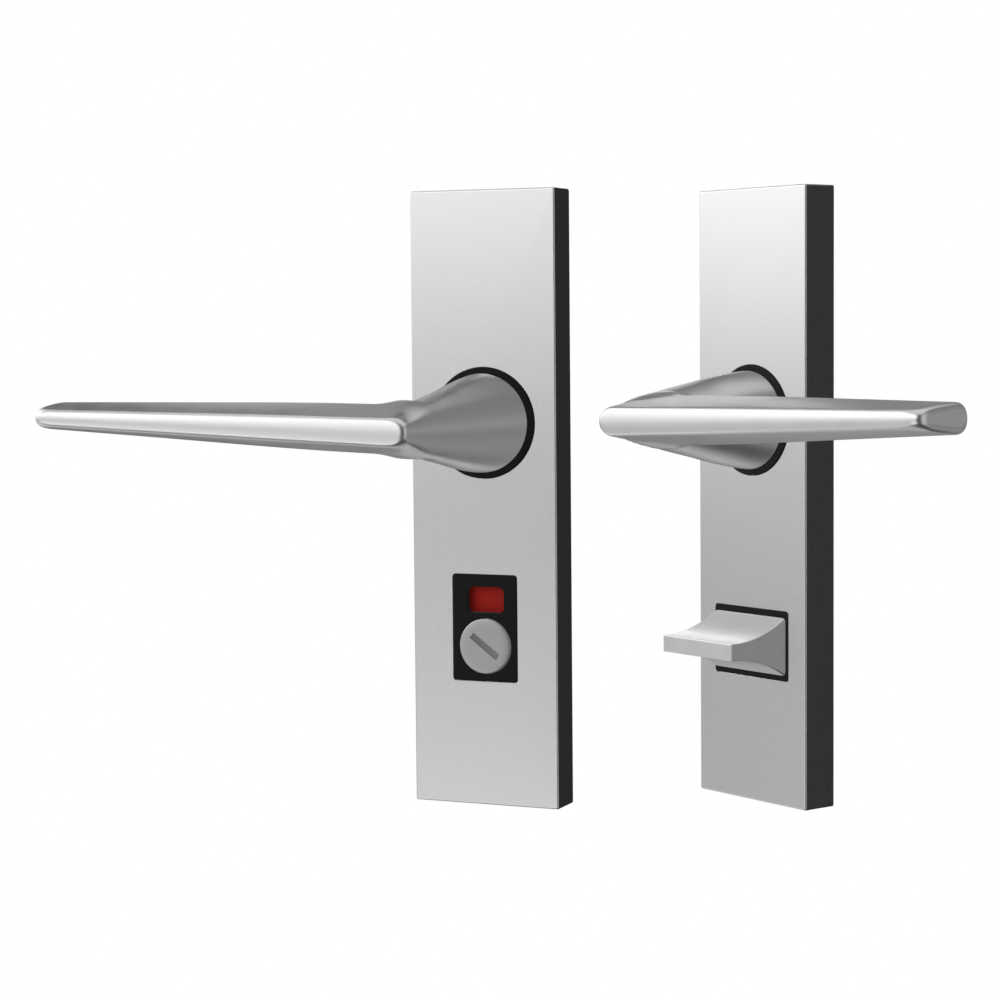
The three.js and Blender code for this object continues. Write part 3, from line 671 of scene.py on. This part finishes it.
def lever_sections():
    """Planes across the handle: (spine point, outward direction, forward direction, angles).

    They climb the neck, swing round the pivot inside the elbow and run along the grip."""
    pivot = np.array(ELBOW_PIVOT)
    spine_rise = GRIP_SPINE - pivot[1]
    sections = []

    def add(foot, outward, forward, neck_share):
        origin = np.array([[foot[0], 0.0, foot[1]]] * 2)
        ways = np.array([[outward[0], 0.0, outward[1]], [-outward[0], 0.0, -outward[1]]])
        reach_out, reach_in = distance_along(origin, ways)
        middle = np.array(foot) + np.array(outward) * (reach_out - reach_in) / 2
        half_depth = (reach_out + reach_in) / 2
        u = min(max(middle[0], 0), LEVER_REACH)
        front = math.atan2(lerp(*FRONT_HALF, u / LEVER_REACH), half_depth)
        rear = math.pi - math.atan2(lerp(*REAR_HALF, u / LEVER_REACH), half_depth)
        front = lerp(front, math.pi / 4, neck_share)
        rear = lerp(rear, 0.75 * math.pi, neck_share)
        sections.append((middle, np.array(outward), np.array(forward), section_angles(front, rear)))

    for n in np.linspace(NECK_START + 0.5, pivot[1], 24, endpoint=False):
        add((0.0, n), (-1.0, 0.0), (0.0, 1.0), 1.0)
    turns = np.concatenate([
        np.linspace(0, 40, 30, endpoint=False),
        np.linspace(40, 62, 56, endpoint=False),
        np.linspace(62, 90, 24, endpoint=False),
    ])
    for angle in np.radians(turns):
        outward = (-math.cos(angle), math.sin(angle))
        forward = (math.sin(angle), math.cos(angle))
        inside = pivot + np.array(outward) * lerp(pivot[0], spine_rise, angle / (math.pi / 2))
        add(tuple(inside), outward, forward, float(1 - smoothstep(np.degrees(angle), 10, 45)))
    for u in np.linspace(pivot[0], LEVER_REACH - 4.5, 54):
        add((u, GRIP_SPINE), (0.0, 1.0), (1.0, 0.0), 0.0)
    return sections


def lever_grid():
    """Rings of points on the handle, from the bush to the tip, and the point that closes them."""
    rings = []
    sections = lever_sections()

    def across(outward, angles):
        return np.stack([np.cos(angles) * outward[0], np.sin(angles), np.cos(angles) * outward[1]], 1)

    def surface(middle, direction):
        origin = np.tile([middle[0], 0.0, middle[1]], (len(direction), 1))
        return origin + direction * distance_along(origin, direction)[:, None]

    for middle, outward, _, angles in sections:
        rings.append(surface(middle, across(outward, angles)))
    middle, outward, forward, angles = sections[-1]
    ahead = np.array([[forward[0], 0.0, forward[1]]])
    for lean in np.linspace(0, math.pi / 2, 30)[1:-1]:
        direction = math.cos(lean) * across(outward, angles) + math.sin(lean) * ahead
        rings.append(surface(middle, direction))
    return np.array(rings), surface(middle, ahead)[0]


def field_normals(points):
    """Outward directions of the handle's surface."""
    step = 0.02
    slopes = []
    for axis in range(3):
        shift = np.zeros(3)
        shift[axis] = step
        ahead = points + shift
        behind = points - shift
        slopes.append(lever_field(*ahead.T) - lever_field(*behind.T))
    normals = np.stack(slopes, 1)
    return normals / np.linalg.norm(normals, axis=1)[:, None]


def lever_base(ring):
    """Rings that carry the neck's foot down into the journal and the square socket."""
    angles = np.arctan2(ring[:, 1], ring[:, 0])
    rings = []

    def ring_at(radius, n):
        level = np.full(len(angles), n)
        rings.append(np.stack([radius * np.cos(angles), radius * np.sin(angles), level], 1))

    for inset, drop in edge_arc(0.45, 4)[1:]:
        ring_at(NECK_RADIUS - inset - 0.1, NECK_START + drop)
    ring_at(JOURNAL_RADIUS, NECK_START)
    ring_at(JOURNAL_RADIUS, JOURNAL_FOOT)
    ring_at(TAIL_RADIUS, JOURNAL_FOOT)
    ring_at(TAIL_RADIUS, TAIL_FOOT)
    square = SOCKET_HALF / np.maximum(np.abs(np.cos(angles)), np.abs(np.sin(angles)))
    ring_at(square, TAIL_FOOT)
    ring_at(square, SOCKET_END)
    return rings


def shift_front(half, points):
    """Raises and leans the handle by its half's amounts, which grow from the foot to the front."""
    share = np.clip((points[..., 2] - NECK_START) / (PROJECTION - NECK_START), 0, 1)
    points[..., 1] += half.rise * np.sin(share * math.pi / 2)
    points[..., 0] -= half.lean * share**2 * (1 - np.clip(points[..., 0] / LEVER_REACH, 0, 1))


def lever_faces(rings, count, flipped):
    """Faces of the rings: flat across the first one and closed to one point after the last."""
    faces = [list(range(count))[::-1]]
    for i in range(rings - 1):
        for j in range(count):
            m = (j + 1) % count
            faces.append([i * count + j, i * count + m, (i + 1) * count + m, (i + 1) * count + j])
    last = (rings - 1) * count
    faces += [[last + j, last + (j + 1) % count, rings * count] for j in range(count)]
    return [face[::-1] for face in faces] if flipped else faces


def lever(half):
    """The handle as one closed mesh with the surface's own normals."""
    rings, pole = lever_grid()
    count = rings.shape[1]
    normals = field_normals(np.concatenate([rings.reshape(-1, 3), pole[None]]))
    for points in (rings, pole[None]):
        shift_front(half, points)
    base = lever_base(rings[0])
    points = np.concatenate([*base[::-1], rings.reshape(-1, 3), pole[None]])
    # a normal of zero leaves the hidden foot with the mesh's own
    normals = np.concatenate([np.zeros((len(base) * count, 3)), normals])

    tilt = math.radians(half.side * LEVER_TILT)
    turn = np.array([[math.cos(tilt), -math.sin(tilt), 0], [math.sin(tilt), math.cos(tilt), 0], [0, 0, 1]])
    place = turn @ np.diag([half.side, 1, 1])
    world = np.array(half.matrix)
    points = points @ place.T @ world[:3, :3].T + world[:3, 3]
    normals = normals @ place.T @ world[:3, :3].T / MM

    name = f"{half.name}_lever"
    mesh = bpy.data.meshes.new(f"{name}_fine")
    mesh.from_pydata(points.tolist(), [], lever_faces(len(base) + len(rings), count, half.side > 0))
    mesh.polygons.foreach_set("use_smooth", [True] * len(mesh.polygons))
    mesh.normals_split_custom_set_from_vertices(normals.tolist())
    mesh.update()
    show(f"{name}_fine", mesh, MATERIALS["lever"], f"{half.name}_handle", [name])


# ---- privacy furniture ------------------------------------------------------------------------------


def insert(half, size, holes):
    """The black insert in the cover's hole: face, lip behind it, and the holes through it."""
    name = f"{half.name}_insert"
    top = half.top(name)
    width, height, rise = size
    solid = Solid()

    def outline(grow, corner, z):
        points = rounded_rectangle(width + 2 * grow, height + 2 * grow, corner)
        return solid.loop(moved(points, 0, rise - TURN_DROP), z)

    rim = [outline(-inset, max(INSERT_CORNER - inset, 0.1), top - drop) for inset, drop in edge_arc(0.25)]
    lip_top = top - WALL - 0.3
    behind = outline(INSERT_LIP, INSERT_CORNER, INSERT_BACK)
    lip = outline(INSERT_LIP, INSERT_CORNER, lip_top)
    solid.strips([behind, lip, outline(0, INSERT_CORNER, lip_top), *rim])
    fronts = []
    backs = []
    for loops in holes(solid, top):
        solid.strips(loops)
        fronts.append(loops[0])
        backs.append(loops[-1])
    solid.fill(rim[-1], *fronts)
    solid.fill(behind, *backs)
    slot = "black_plastic"
    piece(f"{name}_fine", solid, half, MATERIALS[slot], "root", [name])


def outside_holes(solid, top):
    """The occupancy window, and the round seat of the coin release."""
    width, height, corner = WINDOW
    edge = 0.3
    seat = DISC_RADIUS + 0.15
    floor = top - 1.5
    window = []
    arc = [(edge - inset, top - drop) for inset, drop in edge_arc(edge)][::-1]
    for grow, z in [*arc, (0, INSERT_BACK)]:
        points = rounded_rectangle(width + 2 * grow, height + 2 * grow, corner + grow)
        window.append(solid.loop(moved(points, 0, WINDOW_RISE - TURN_DROP), z))
    profile = [(seat + 0.15, top), (seat, top - 0.15), (seat, floor)]
    profile += [(TAIL_HOLE_RADIUS, floor), (TAIL_HOLE_RADIUS, INSERT_BACK)]
    disc = [solid.loop(moved(circle(r), 0, -TURN_DROP), z) for r, z in profile]
    return [window, disc]


def inside_holes(solid, top):
    """The thumb turn's round hole."""
    return [[solid.loop(moved(circle(TAIL_HOLE_RADIUS), 0, -TURN_DROP), z) for z in (top, INSERT_BACK)]]


def square_bar(name, half, side, z0, z1, centre, body, slot, replaces=()):
    """A square bar with rounded edges and chamfered ends."""
    solid = Solid()
    chamfer = 0.5
    loops = []
    for inset, z in ((chamfer, z0), (0, z0 + chamfer), (0, z1 - chamfer), (chamfer, z1)):
        points = rounded_rectangle(side - 2 * inset, side - 2 * inset, SPINDLE_CORNER, 3)
        loops.append(solid.loop(moved(points, *centre), z))
    solid.rod(loops)
    return piece(name, solid, half, MATERIALS[slot], body, replaces)


def slot_point(solid, s, w, z):
    """A vertex at s along the coin slot and w across it."""
    turn = math.radians(SLOT_ANGLE)
    x = s * math.cos(turn) - w * math.sin(turn)
    y = s * math.sin(turn) + w * math.cos(turn) - TURN_DROP
    return solid.bm.verts.new((x, y, z))


def slot_sag(s):
    """How much deeper the coin slot is at s than at its ends."""
    return SLOT_SAG * (1 - (s / SLOT_LONG) ** 2)


def slot_spots():
    return [lerp(-SLOT_LONG, SLOT_LONG, k / SLOT_STEPS) for k in range(SLOT_STEPS + 1)]


def coin_release():
    """The satin disc with its milled coin slot, and the square tail behind it."""
    half = OUTSIDE
    low, high = half.box("coin_release")
    top = high.z
    under = top - DISC_THICKNESS
    tail_end = low.z + TAIL_LENGTH
    solid = Solid()
    profile = [(STEM_RADIUS, tail_end - 1), (STEM_RADIUS, under), (DISC_RADIUS, under)]
    profile += [(DISC_RADIUS - inset, top - DISC_CROWN - drop) for inset, drop in edge_arc(DISC_EDGE, 4)]
    for share in (0.25, 0.5, 0.75, 1):
        radius = lerp(DISC_RADIUS - DISC_EDGE, DISC_FLAT_RADIUS, share)
        profile.append((radius, top - DISC_CROWN * (1 - share) ** 2))
    loops = lathe(solid, profile, (0, -TURN_DROP), closed=False)
    solid.cap(loops[0])

    def row(w, z_at):
        return [slot_point(solid, s, w, z_at(s)) for s in slot_spots()]

    rims = [row(w, lambda s: top) for w in (-SLOT_WIDE, SLOT_WIDE)]
    floors = [row(w, lambda s: top - SLOT_DEPTH - slot_sag(s)) for w in (-SLOT_WIDE, SLOT_WIDE)]
    rows = [rims[0], floors[0], floors[1], rims[1]]
    new_face = solid.bm.faces.new
    for a, b in zip(rows, rows[1:]):
        for k in range(SLOT_STEPS):
            new_face((a[k], a[k + 1], b[k + 1], b[k]))
    for k in (0, SLOT_STEPS):
        new_face([one[k] for one in rows])
    solid.fill(loops[-1], rims[0] + rims[1][::-1])
    piece("coin_release_fine", solid, half, cast_aluminium(), "release", ["coin_release"])
    # a dark sheet in the slot paints its shade
    coin_slot_floor(half, top)
    square_bar("coin_release_tail", half, TAIL_SIDE, low.z, tail_end, (0, -TURN_DROP), "release", "lever")


def coin_slot_floor(half, top):
    """A dark sheet just above the coin slot's floor: painted shade for the slot's recess."""
    lift = 0.2
    thickness = 0.1
    solid = Solid()
    loops = []
    for s in slot_spots():
        z = top - SLOT_DEPTH + lift - slot_sag(s)
        corners = ((-SLOT_WIDE, z), (SLOT_WIDE, z), (SLOT_WIDE, z - thickness), (-SLOT_WIDE, z - thickness))
        loops.append([slot_point(solid, s, *corner) for corner in corners])
    solid.rod(loops)
    piece("coin_slot_floor", solid, half, milled_metal(), "release")


def indicator_ring():
    """The red flag that shows in the window, long enough to fill it from every side."""
    half = OUTSIDE
    low, high = half.box("indicator_flag")
    start, stop = (math.radians(angle) for angle in FLAG_ANGLES)
    inner, outer = FLAG_RADII
    steps = 24
    outline = []
    for radius, turns in ((outer, range(steps + 1)), (inner, range(steps, -1, -1))):
        for k in turns:
            a = lerp(start, stop, k / steps)
            outline.append((radius * math.cos(a), radius * math.sin(a) - TURN_DROP))
    solid = Solid()
    solid.rod([solid.loop(outline, low.z), solid.loop(outline, high.z)])
    slot = "indicator_red"
    piece("indicator_flag_fine", solid, half, MATERIALS[slot], "release", ["indicator_flag"])


def snib_half(z, foot, tip):
    """Half the thumb turn's thickness at z."""
    to_base = 1 - min(max((z - foot) / (tip - foot), 0), 1)
    return lerp(SNIB_TIP / 2, SNIB_BASE / 2, to_base**SNIB_FLARE)


def snib():
    """The saddle-shaped thumb turn, its round stem and its square tail."""
    half = INSIDE
    centre = (0, -TURN_DROP)
    foot = SNIB_FOOT + 0.5
    tip = half.top("snib")
    corners_end = lerp(SNIB_FOOT, tip, 0.45)
    steps = 28
    edge = 0.25
    levels = [(SNIB_BASE / 2, SNIB_FOOT)]
    for k in range(steps + 1):
        z = foot + (tip - foot - edge) * (k / steps) ** 1.3
        levels.append((snib_half(z, foot, tip), z))
    solid = Solid()
    loops = []
    for thick, z in levels:
        corner = float(lerp(SNIB_CORNER, SNIB_TIP_CORNER, smoothstep(z, SNIB_FOOT, corners_end)))
        points = rounded_rectangle(SNIB_WIDTH, 2 * thick, corner, 5)
        loops.append(solid.loop(moved(points, *centre), z))
    for inset, drop in edge_arc(edge, 4)[1:]:
        corner = SNIB_TIP_CORNER - 0.9 * inset
        points = rounded_rectangle(SNIB_WIDTH - 2 * inset, SNIB_TIP - 2 * inset, corner, 5)
        loops.append(solid.loop(moved(points, *centre), tip - drop))
    solid.rod(loops)
    obj = piece("snib_fine", solid, half, MATERIALS["lever"], "thumb_turn", ["snib"])
    stem = Solid()
    profile = [(STEM_RADIUS, TAIL_FOOT), (STEM_RADIUS, SNIB_FOOT + 0.3)]
    stem.cap_ends(lathe(stem, profile, centre, 64, closed=False))
    piece("snib_stem", stem, half, MATERIALS["lever"], "thumb_turn")
    z0, z1 = (corner.z for corner in half.box("snib_tail"))
    square_bar("snib_tail_fine", half, TAIL_SIDE, z0, z1, centre, "thumb_turn", "steel", ["snib_tail"])
    return obj


# ---- pieces behind ------------------------------------------------------------------------------


def backplate(half, fixing_radius):
    """The steel plate behind the cover, with holes for the spindle, the tail and the fixings."""
    name = f"{half.name}_backplate"
    low, high = half.box(name)
    width = high.x - low.x
    height = high.y - low.y
    middle = (low.y + high.y) / 2
    edge = 0.2
    solid = Solid()
    loops = []
    for inset, z in ((edge, 0), (0, edge), (0, high.z - edge), (edge, high.z)):
        points = rounded_rectangle(width - 2 * inset, height - 2 * inset, BACKPLATE_CORNER - inset)
        loops.append(solid.loop(moved(points, 0, middle), z))
    solid.strips(loops)
    backs, fronts = [loops[0]], [loops[-1]]
    spots = [(SPINDLE_HOLE_RADIUS, 0), (TAIL_HOLE_RADIUS, -TURN_DROP)]
    spots += [(fixing_radius, y) for y in FIXINGS.values()]
    for radius, y in spots:
        profile = [(radius + edge, 0), (radius, edge), (radius, high.z - edge), (radius + edge, high.z)]
        hole = [solid.loop(moved(circle(r, 64), 0, y), z) for r, z in profile]
        solid.strips(hole)
        backs.append(hole[0])
        fronts.append(hole[-1])
    solid.fill(*backs)
    solid.fill(*fronts)
    piece(f"{name}_fine", solid, half, MATERIALS["steel"], "root", [name])


def threaded_rod(solid, z0, z1, centre, count=40):
    """A screw's helical thread between two heights, which runs out at both ends."""
    rings = int((z1 - z0) / SCREW_PITCH * 10)
    loops = []
    for i in range(rings + 1):
        z = lerp(z0, z1, i / rings)
        from_start = min(1, (z - z0) / SCREW_PITCH)
        fade = min(from_start, (z1 - z) / SCREW_PITCH)
        points = []
        for k in range(count):
            phase = (z / SCREW_PITCH - k / count) % 1
            cut = SCREW_THREAD * (abs(2 * phase - 1) * fade + 0.4 * (1 - from_start))
            a = 2 * math.pi * k / count
            points.append(((SCREW_RADIUS - cut) * math.cos(a), (SCREW_RADIUS - cut) * math.sin(a)))
        loops.append(solid.loop(moved(points, *centre), z))
    solid.strips(loops)
    return loops


def fixing_screws():
    """The screws of the inside half: a thread, and a head with a socket in it."""
    edge = SCREW_HEAD_RADIUS - 0.5
    socket = SCREW_SOCKET_RADIUS
    for place, y in FIXINGS.items():
        name = f"inside_screw_{place}"
        low, high = INSIDE.box(name)
        solid = Solid()
        loops = threaded_rod(solid, low.z, SCREW_HEAD_FOOT - 0.3, (0, y))
        solid.cap(loops[0])
        head = [(SCREW_RADIUS, SCREW_HEAD_FOOT - 0.2), (SCREW_HEAD_RADIUS, SCREW_HEAD_FOOT)]
        head += [(SCREW_HEAD_RADIUS, 2 * SCREW_HEAD_FOOT), (edge, high.z)]
        head += [(socket, high.z), (socket - 0.1, high.z - 1.5)]
        rings = [solid.loop(moved(circle(r, 40), 0, y), z) for r, z in head]
        solid.strips([loops[-1], *rings])
        solid.cap(rings[-1])
        piece(f"{name}_fine", solid, INSIDE, MATERIALS["steel"], "root", [name])


def fixing_posts():
    """The posts of the outside half, with ridges in their bore for a thread."""
    wide, narrow = POST_BORE
    for place, y in FIXINGS.items():
        name = f"outside_post_{place}"
        low, high = OUTSIDE.box(name)
        solid = Solid()
        profile = [(POST_FLANGE_RADIUS, high.z), (POST_FLANGE_RADIUS, POST_FLANGE_FOOT)]
        profile += [(POST_RADIUS, POST_FLANGE_FOOT), (POST_RADIUS, low.z + 0.4)]
        profile += [(POST_RADIUS - 0.4, low.z), (wide + 0.3, low.z)]
        pitch = (high.z - low.z - 3) / POST_RIDGES
        for k in range(POST_RIDGES):
            z = low.z + 0.3 + pitch * k
            profile += [(wide, z), (narrow, z + pitch / 2)]
        solid.cap_ends(lathe(solid, profile, (0, y), 48, closed=False))
        piece(f"{name}_fine", solid, OUTSIDE, MATERIALS["steel"], "root", [name])


def spindles():
    """The square bars in the levers, turned with the grips' tilt."""
    for half in (OUTSIDE, INSIDE):
        name = f"{half.name}_spindle"
        body = f"{half.name}_handle"
        low, high = half.box(name)
        obj = square_bar(f"{name}_fine", half, SPINDLE_SIDE, low.z, high.z, (0, 0), body, "steel", [name])
        tilt = Matrix.Rotation(math.radians(half.side * LEVER_TILT), 4, "Z")
        obj.data.transform(half.matrix @ tilt @ half.inverse)


# ---- stage --------------------------------------------------------------------------------------


def glowing(name):
    """A new material that only glows, and its emission node."""
    material = bpy.data.materials.new(name)
    material.use_nodes = True
    tree = material.node_tree
    tree.nodes.clear()
    glow = tree.nodes.new("ShaderNodeEmission")
    glow.inputs["Color"].default_value = (1, 1, 1, 1)
    glow.inputs["Strength"].default_value = 1.0
    output = tree.nodes.new("ShaderNodeOutputMaterial")
    tree.links.new(glow.outputs["Emission"], output.inputs["Surface"])
    return material, glow


def stage_mesh(name, points, faces, material):
    mesh = bpy.data.meshes.new(name)
    mesh.from_pydata(points, [], faces)
    mesh.materials.append(material)
    obj = bpy.data.objects.new(name, mesh)
    bpy.context.scene.collection.objects.link(obj)
    return obj


def studio_floor():
    """A pale floor well below the set that curves up into a pale wall all round."""
    floor_z = cad_bounds[0][2] - FLOOR_DROP
    flat = FLOOR_REACH - FLOOR_BEND
    count = 96
    rings = [(0.01, 0.0), (flat, 0.0)]
    for a in np.linspace(0.1, math.pi / 2, 12):
        rings.append((flat + FLOOR_BEND * math.sin(a), FLOOR_BEND * (1 - math.cos(a))))
    rings += [(FLOOR_REACH, 5.0), (0.01, 6.0)]
    points = []
    for radius, z in rings:
        points += [(x, y, floor_z + z) for x, y in circle(radius, count)]
    faces = []
    for i in range(len(rings) - 1):
        for k in range(count):
            m = (k + 1) % count
            faces.append((i * count + k, i * count + m, (i + 1) * count + m, (i + 1) * count + k))
    white, _ = glowing("studio_white")
    wall = stage_mesh("studio_floor", points, faces, white)
    wall.visible_glossy = False
    wall.visible_diffuse = False
    wall.visible_shadow = False


def soft_wall(name, start, stop, bands, radius=WALL_RADIUS):
    """A curved, glowing card between two compass angles, out of the camera's sight.

    The angles run from straight in front to the right; bands lists (height in metres, strength)
    from the bottom up."""
    count = 24
    points, faces = [], []
    for z, _ in bands:
        for k in range(count + 1):
            a = math.radians(lerp(start, stop, k / count))
            points.append((radius * math.sin(a), -radius * math.cos(a), z))
    for i in range(len(bands) - 1):
        for k in range(count):
            a = i * (count + 1) + k
            faces.append((a, a + 1, a + count + 2, a + count + 1))
    obj = stage_mesh(name, points, faces, glow_by_height(name, bands))
    obj.visible_camera = False
    obj.visible_shadow = False
    return obj


def glow_by_height(name, bands):
    """Emission whose strength follows the height through the given bands."""
    material, glow = glowing(name)
    tree = material.node_tree
    low, high = bands[0][0], bands[-1][0]
    most = max(strength for _, strength in bands)
    glow.inputs["Strength"].default_value = most
    coords = tree.nodes.new("ShaderNodeTexCoord")
    split = tree.nodes.new("ShaderNodeSeparateXYZ")
    scale = tree.nodes.new("ShaderNodeMapRange")
    scale.inputs["From Min"].default_value = low
    scale.inputs["From Max"].default_value = high
    ramp = tree.nodes.new("ShaderNodeValToRGB")
    while len(ramp.color_ramp.elements) < len(bands):
        ramp.color_ramp.elements.new(0.5)
    for element, (z, strength) in zip(ramp.color_ramp.elements, bands):
        element.position = (z - low) / (high - low)
        value = strength / most
        element.color = (value, value, value, 1)
    tree.links.new(coords.outputs["Object"], split.inputs["Vector"])
    tree.links.new(split.outputs["Z"], scale.inputs["Value"])
    tree.links.new(scale.outputs["Result"], ramp.inputs["Fac"])
    tree.links.new(ramp.outputs["Color"], glow.inputs["Color"])
    return material


def soft_light(name, place, size, power):
    """A soft card that faces the middle of the set, out of the camera's sight."""
    data = bpy.data.lights.new(name, "AREA")
    data.shape = "RECTANGLE"
    data.size, data.size_y = size
    data.energy = power
    obj = bpy.data.objects.new(name, data)
    obj.location = place
    obj.rotation_euler = Vector(place).to_track_quat("Z", "Y").to_euler()
    obj.visible_camera = False
    bpy.context.scene.collection.objects.link(obj)
    return obj


def lights():
    """The world's faint glow, and the walls and cards round the set."""
    world = bpy.data.worlds.new("studio")
    bpy.context.scene.world = world
    world.use_nodes = True
    background = world.node_tree.nodes["Background"]
    background.inputs["Color"].default_value = (1, 1, 1, 1)
    background.inputs["Strength"].default_value = 0.04
    # bright above the horizon, a darker band at it, pale below
    front = [(-1.6, 1.15), (-0.7, 1.1), (-0.34, 0.72), (-0.17, 0.34)]
    front += [(-0.04, 0.34), (0.1, 1.12), (0.4, 1.6), (1.6, 1.3)]
    left = [(-1.6, 0.6), (-0.7, 0.55), (-0.34, 0.45), (-0.17, 0.42)]
    left += [(-0.04, 0.5), (0.1, 1.25), (0.4, 1.6), (1.6, 1.3)]
    soft_wall("front_left_wall", -55, -8, front)
    soft_wall("left_wall", -126, -55, left)
    soft_wall("right_wall", 38, 78, [(-1.2, 0.6), (-0.2, 0.55), (0.3, 0.6), (1.2, 0.7)])
    soft_wall("back_panel", -164, -156, [(0.42, 3.0), (0.58, 3.0)])
    soft_wall("back_left_panel", -153, -144, [(0.4, 0.85), (0.7, 0.85)])
    soft_light("top_light", (0, 0, 1.3), (2.0, 2.0), 8)
    soft_light("floor_light", (-0.4, 0.4, -0.9), (1.2, 1.2), 1.8)
    soft_light("side_light", (0.92, 0.77, 0), (1.6, 1.6), 0.22)


def set_pieces():
    """Every mesh of the set itself, the CAD nodes among them."""
    return [obj for obj in bpy.context.scene.objects if obj.type == "MESH" and "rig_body" in obj]


def back_fill():
    """A dim wall behind on the right for everything but the two covers, whose sides stay dark."""
    bands = [(-1.6, 0.3), (-0.6, 0.24), (-0.25, 0.14), (0.0, 0.36), (0.3, 0.2), (1.6, 0.16)]
    wall = soft_wall("back_fill", 82, 195, bands, WALL_RADIUS - 0.05)
    light_only(wall, [obj for obj in set_pieces() if not obj.name.endswith("_cover_fine")])


def snib_light(obj):
    """A soft card behind on the left for the thumb turn's hollow top."""
    card = soft_light("snib_light", (-0.69, 1.14, 0.43), (1.6, 1.2), 3.0)
    light_only(card, [obj])


def light_only(light, pieces):
    """Keeps a light for the given pieces."""
    group = bpy.data.collections.new(f"lit_by_{light.name}")
    for obj in pieces:
        group.objects.link(obj)
    light.light_linking.receiver_collection = group


def camera():
    azimuth = math.radians(CAMERA_AZIMUTH)
    elevation = math.radians(CAMERA_ELEVATION)
    back = Vector((
        math.sin(azimuth) * math.cos(elevation),
        -math.cos(azimuth) * math.cos(elevation),
        math.sin(elevation),
    ))
    data = bpy.data.cameras.new("camera")
    data.lens = 90
    data.sensor_width = 36
    data.clip_start = 0.01
    obj = bpy.data.objects.new("camera", data)
    turn = back.to_track_quat("Z", "Y").to_matrix() @ Matrix.Rotation(math.radians(CAMERA_ROLL), 3, "Z")
    obj.matrix_world = Matrix.Translation(Vector(CAMERA_AIM) + back * CAMERA_DISTANCE) @ turn.to_4x4()
    bpy.context.scene.collection.objects.link(obj)
    bpy.context.scene.camera = obj
    bpy.context.scene.view_settings.view_transform = "Standard"


# ---- everything ---------------------------------------------------------------------------------

camera()
lights()
studio_floor()
dress_nodes()

cover(OUTSIDE, OUTSIDE_INSERT)
cover(INSIDE, INSIDE_INSERT)
for one in (OUTSIDE, INSIDE):
    lever(one)
    bush(one)
insert(OUTSIDE, OUTSIDE_INSERT, outside_holes)
insert(INSIDE, INSIDE_INSERT, inside_holes)
coin_release()
indicator_ring()
snib_light(snib())
backplate(OUTSIDE, POST_RADIUS + FIXING_PLAY)
backplate(INSIDE, SCREW_RADIUS + FIXING_PLAY)
fixing_screws()
fixing_posts()
spindles()
back_fill()

# the two halves don't mirror one another
for obj in set_pieces():
    obj.visible_glossy = False
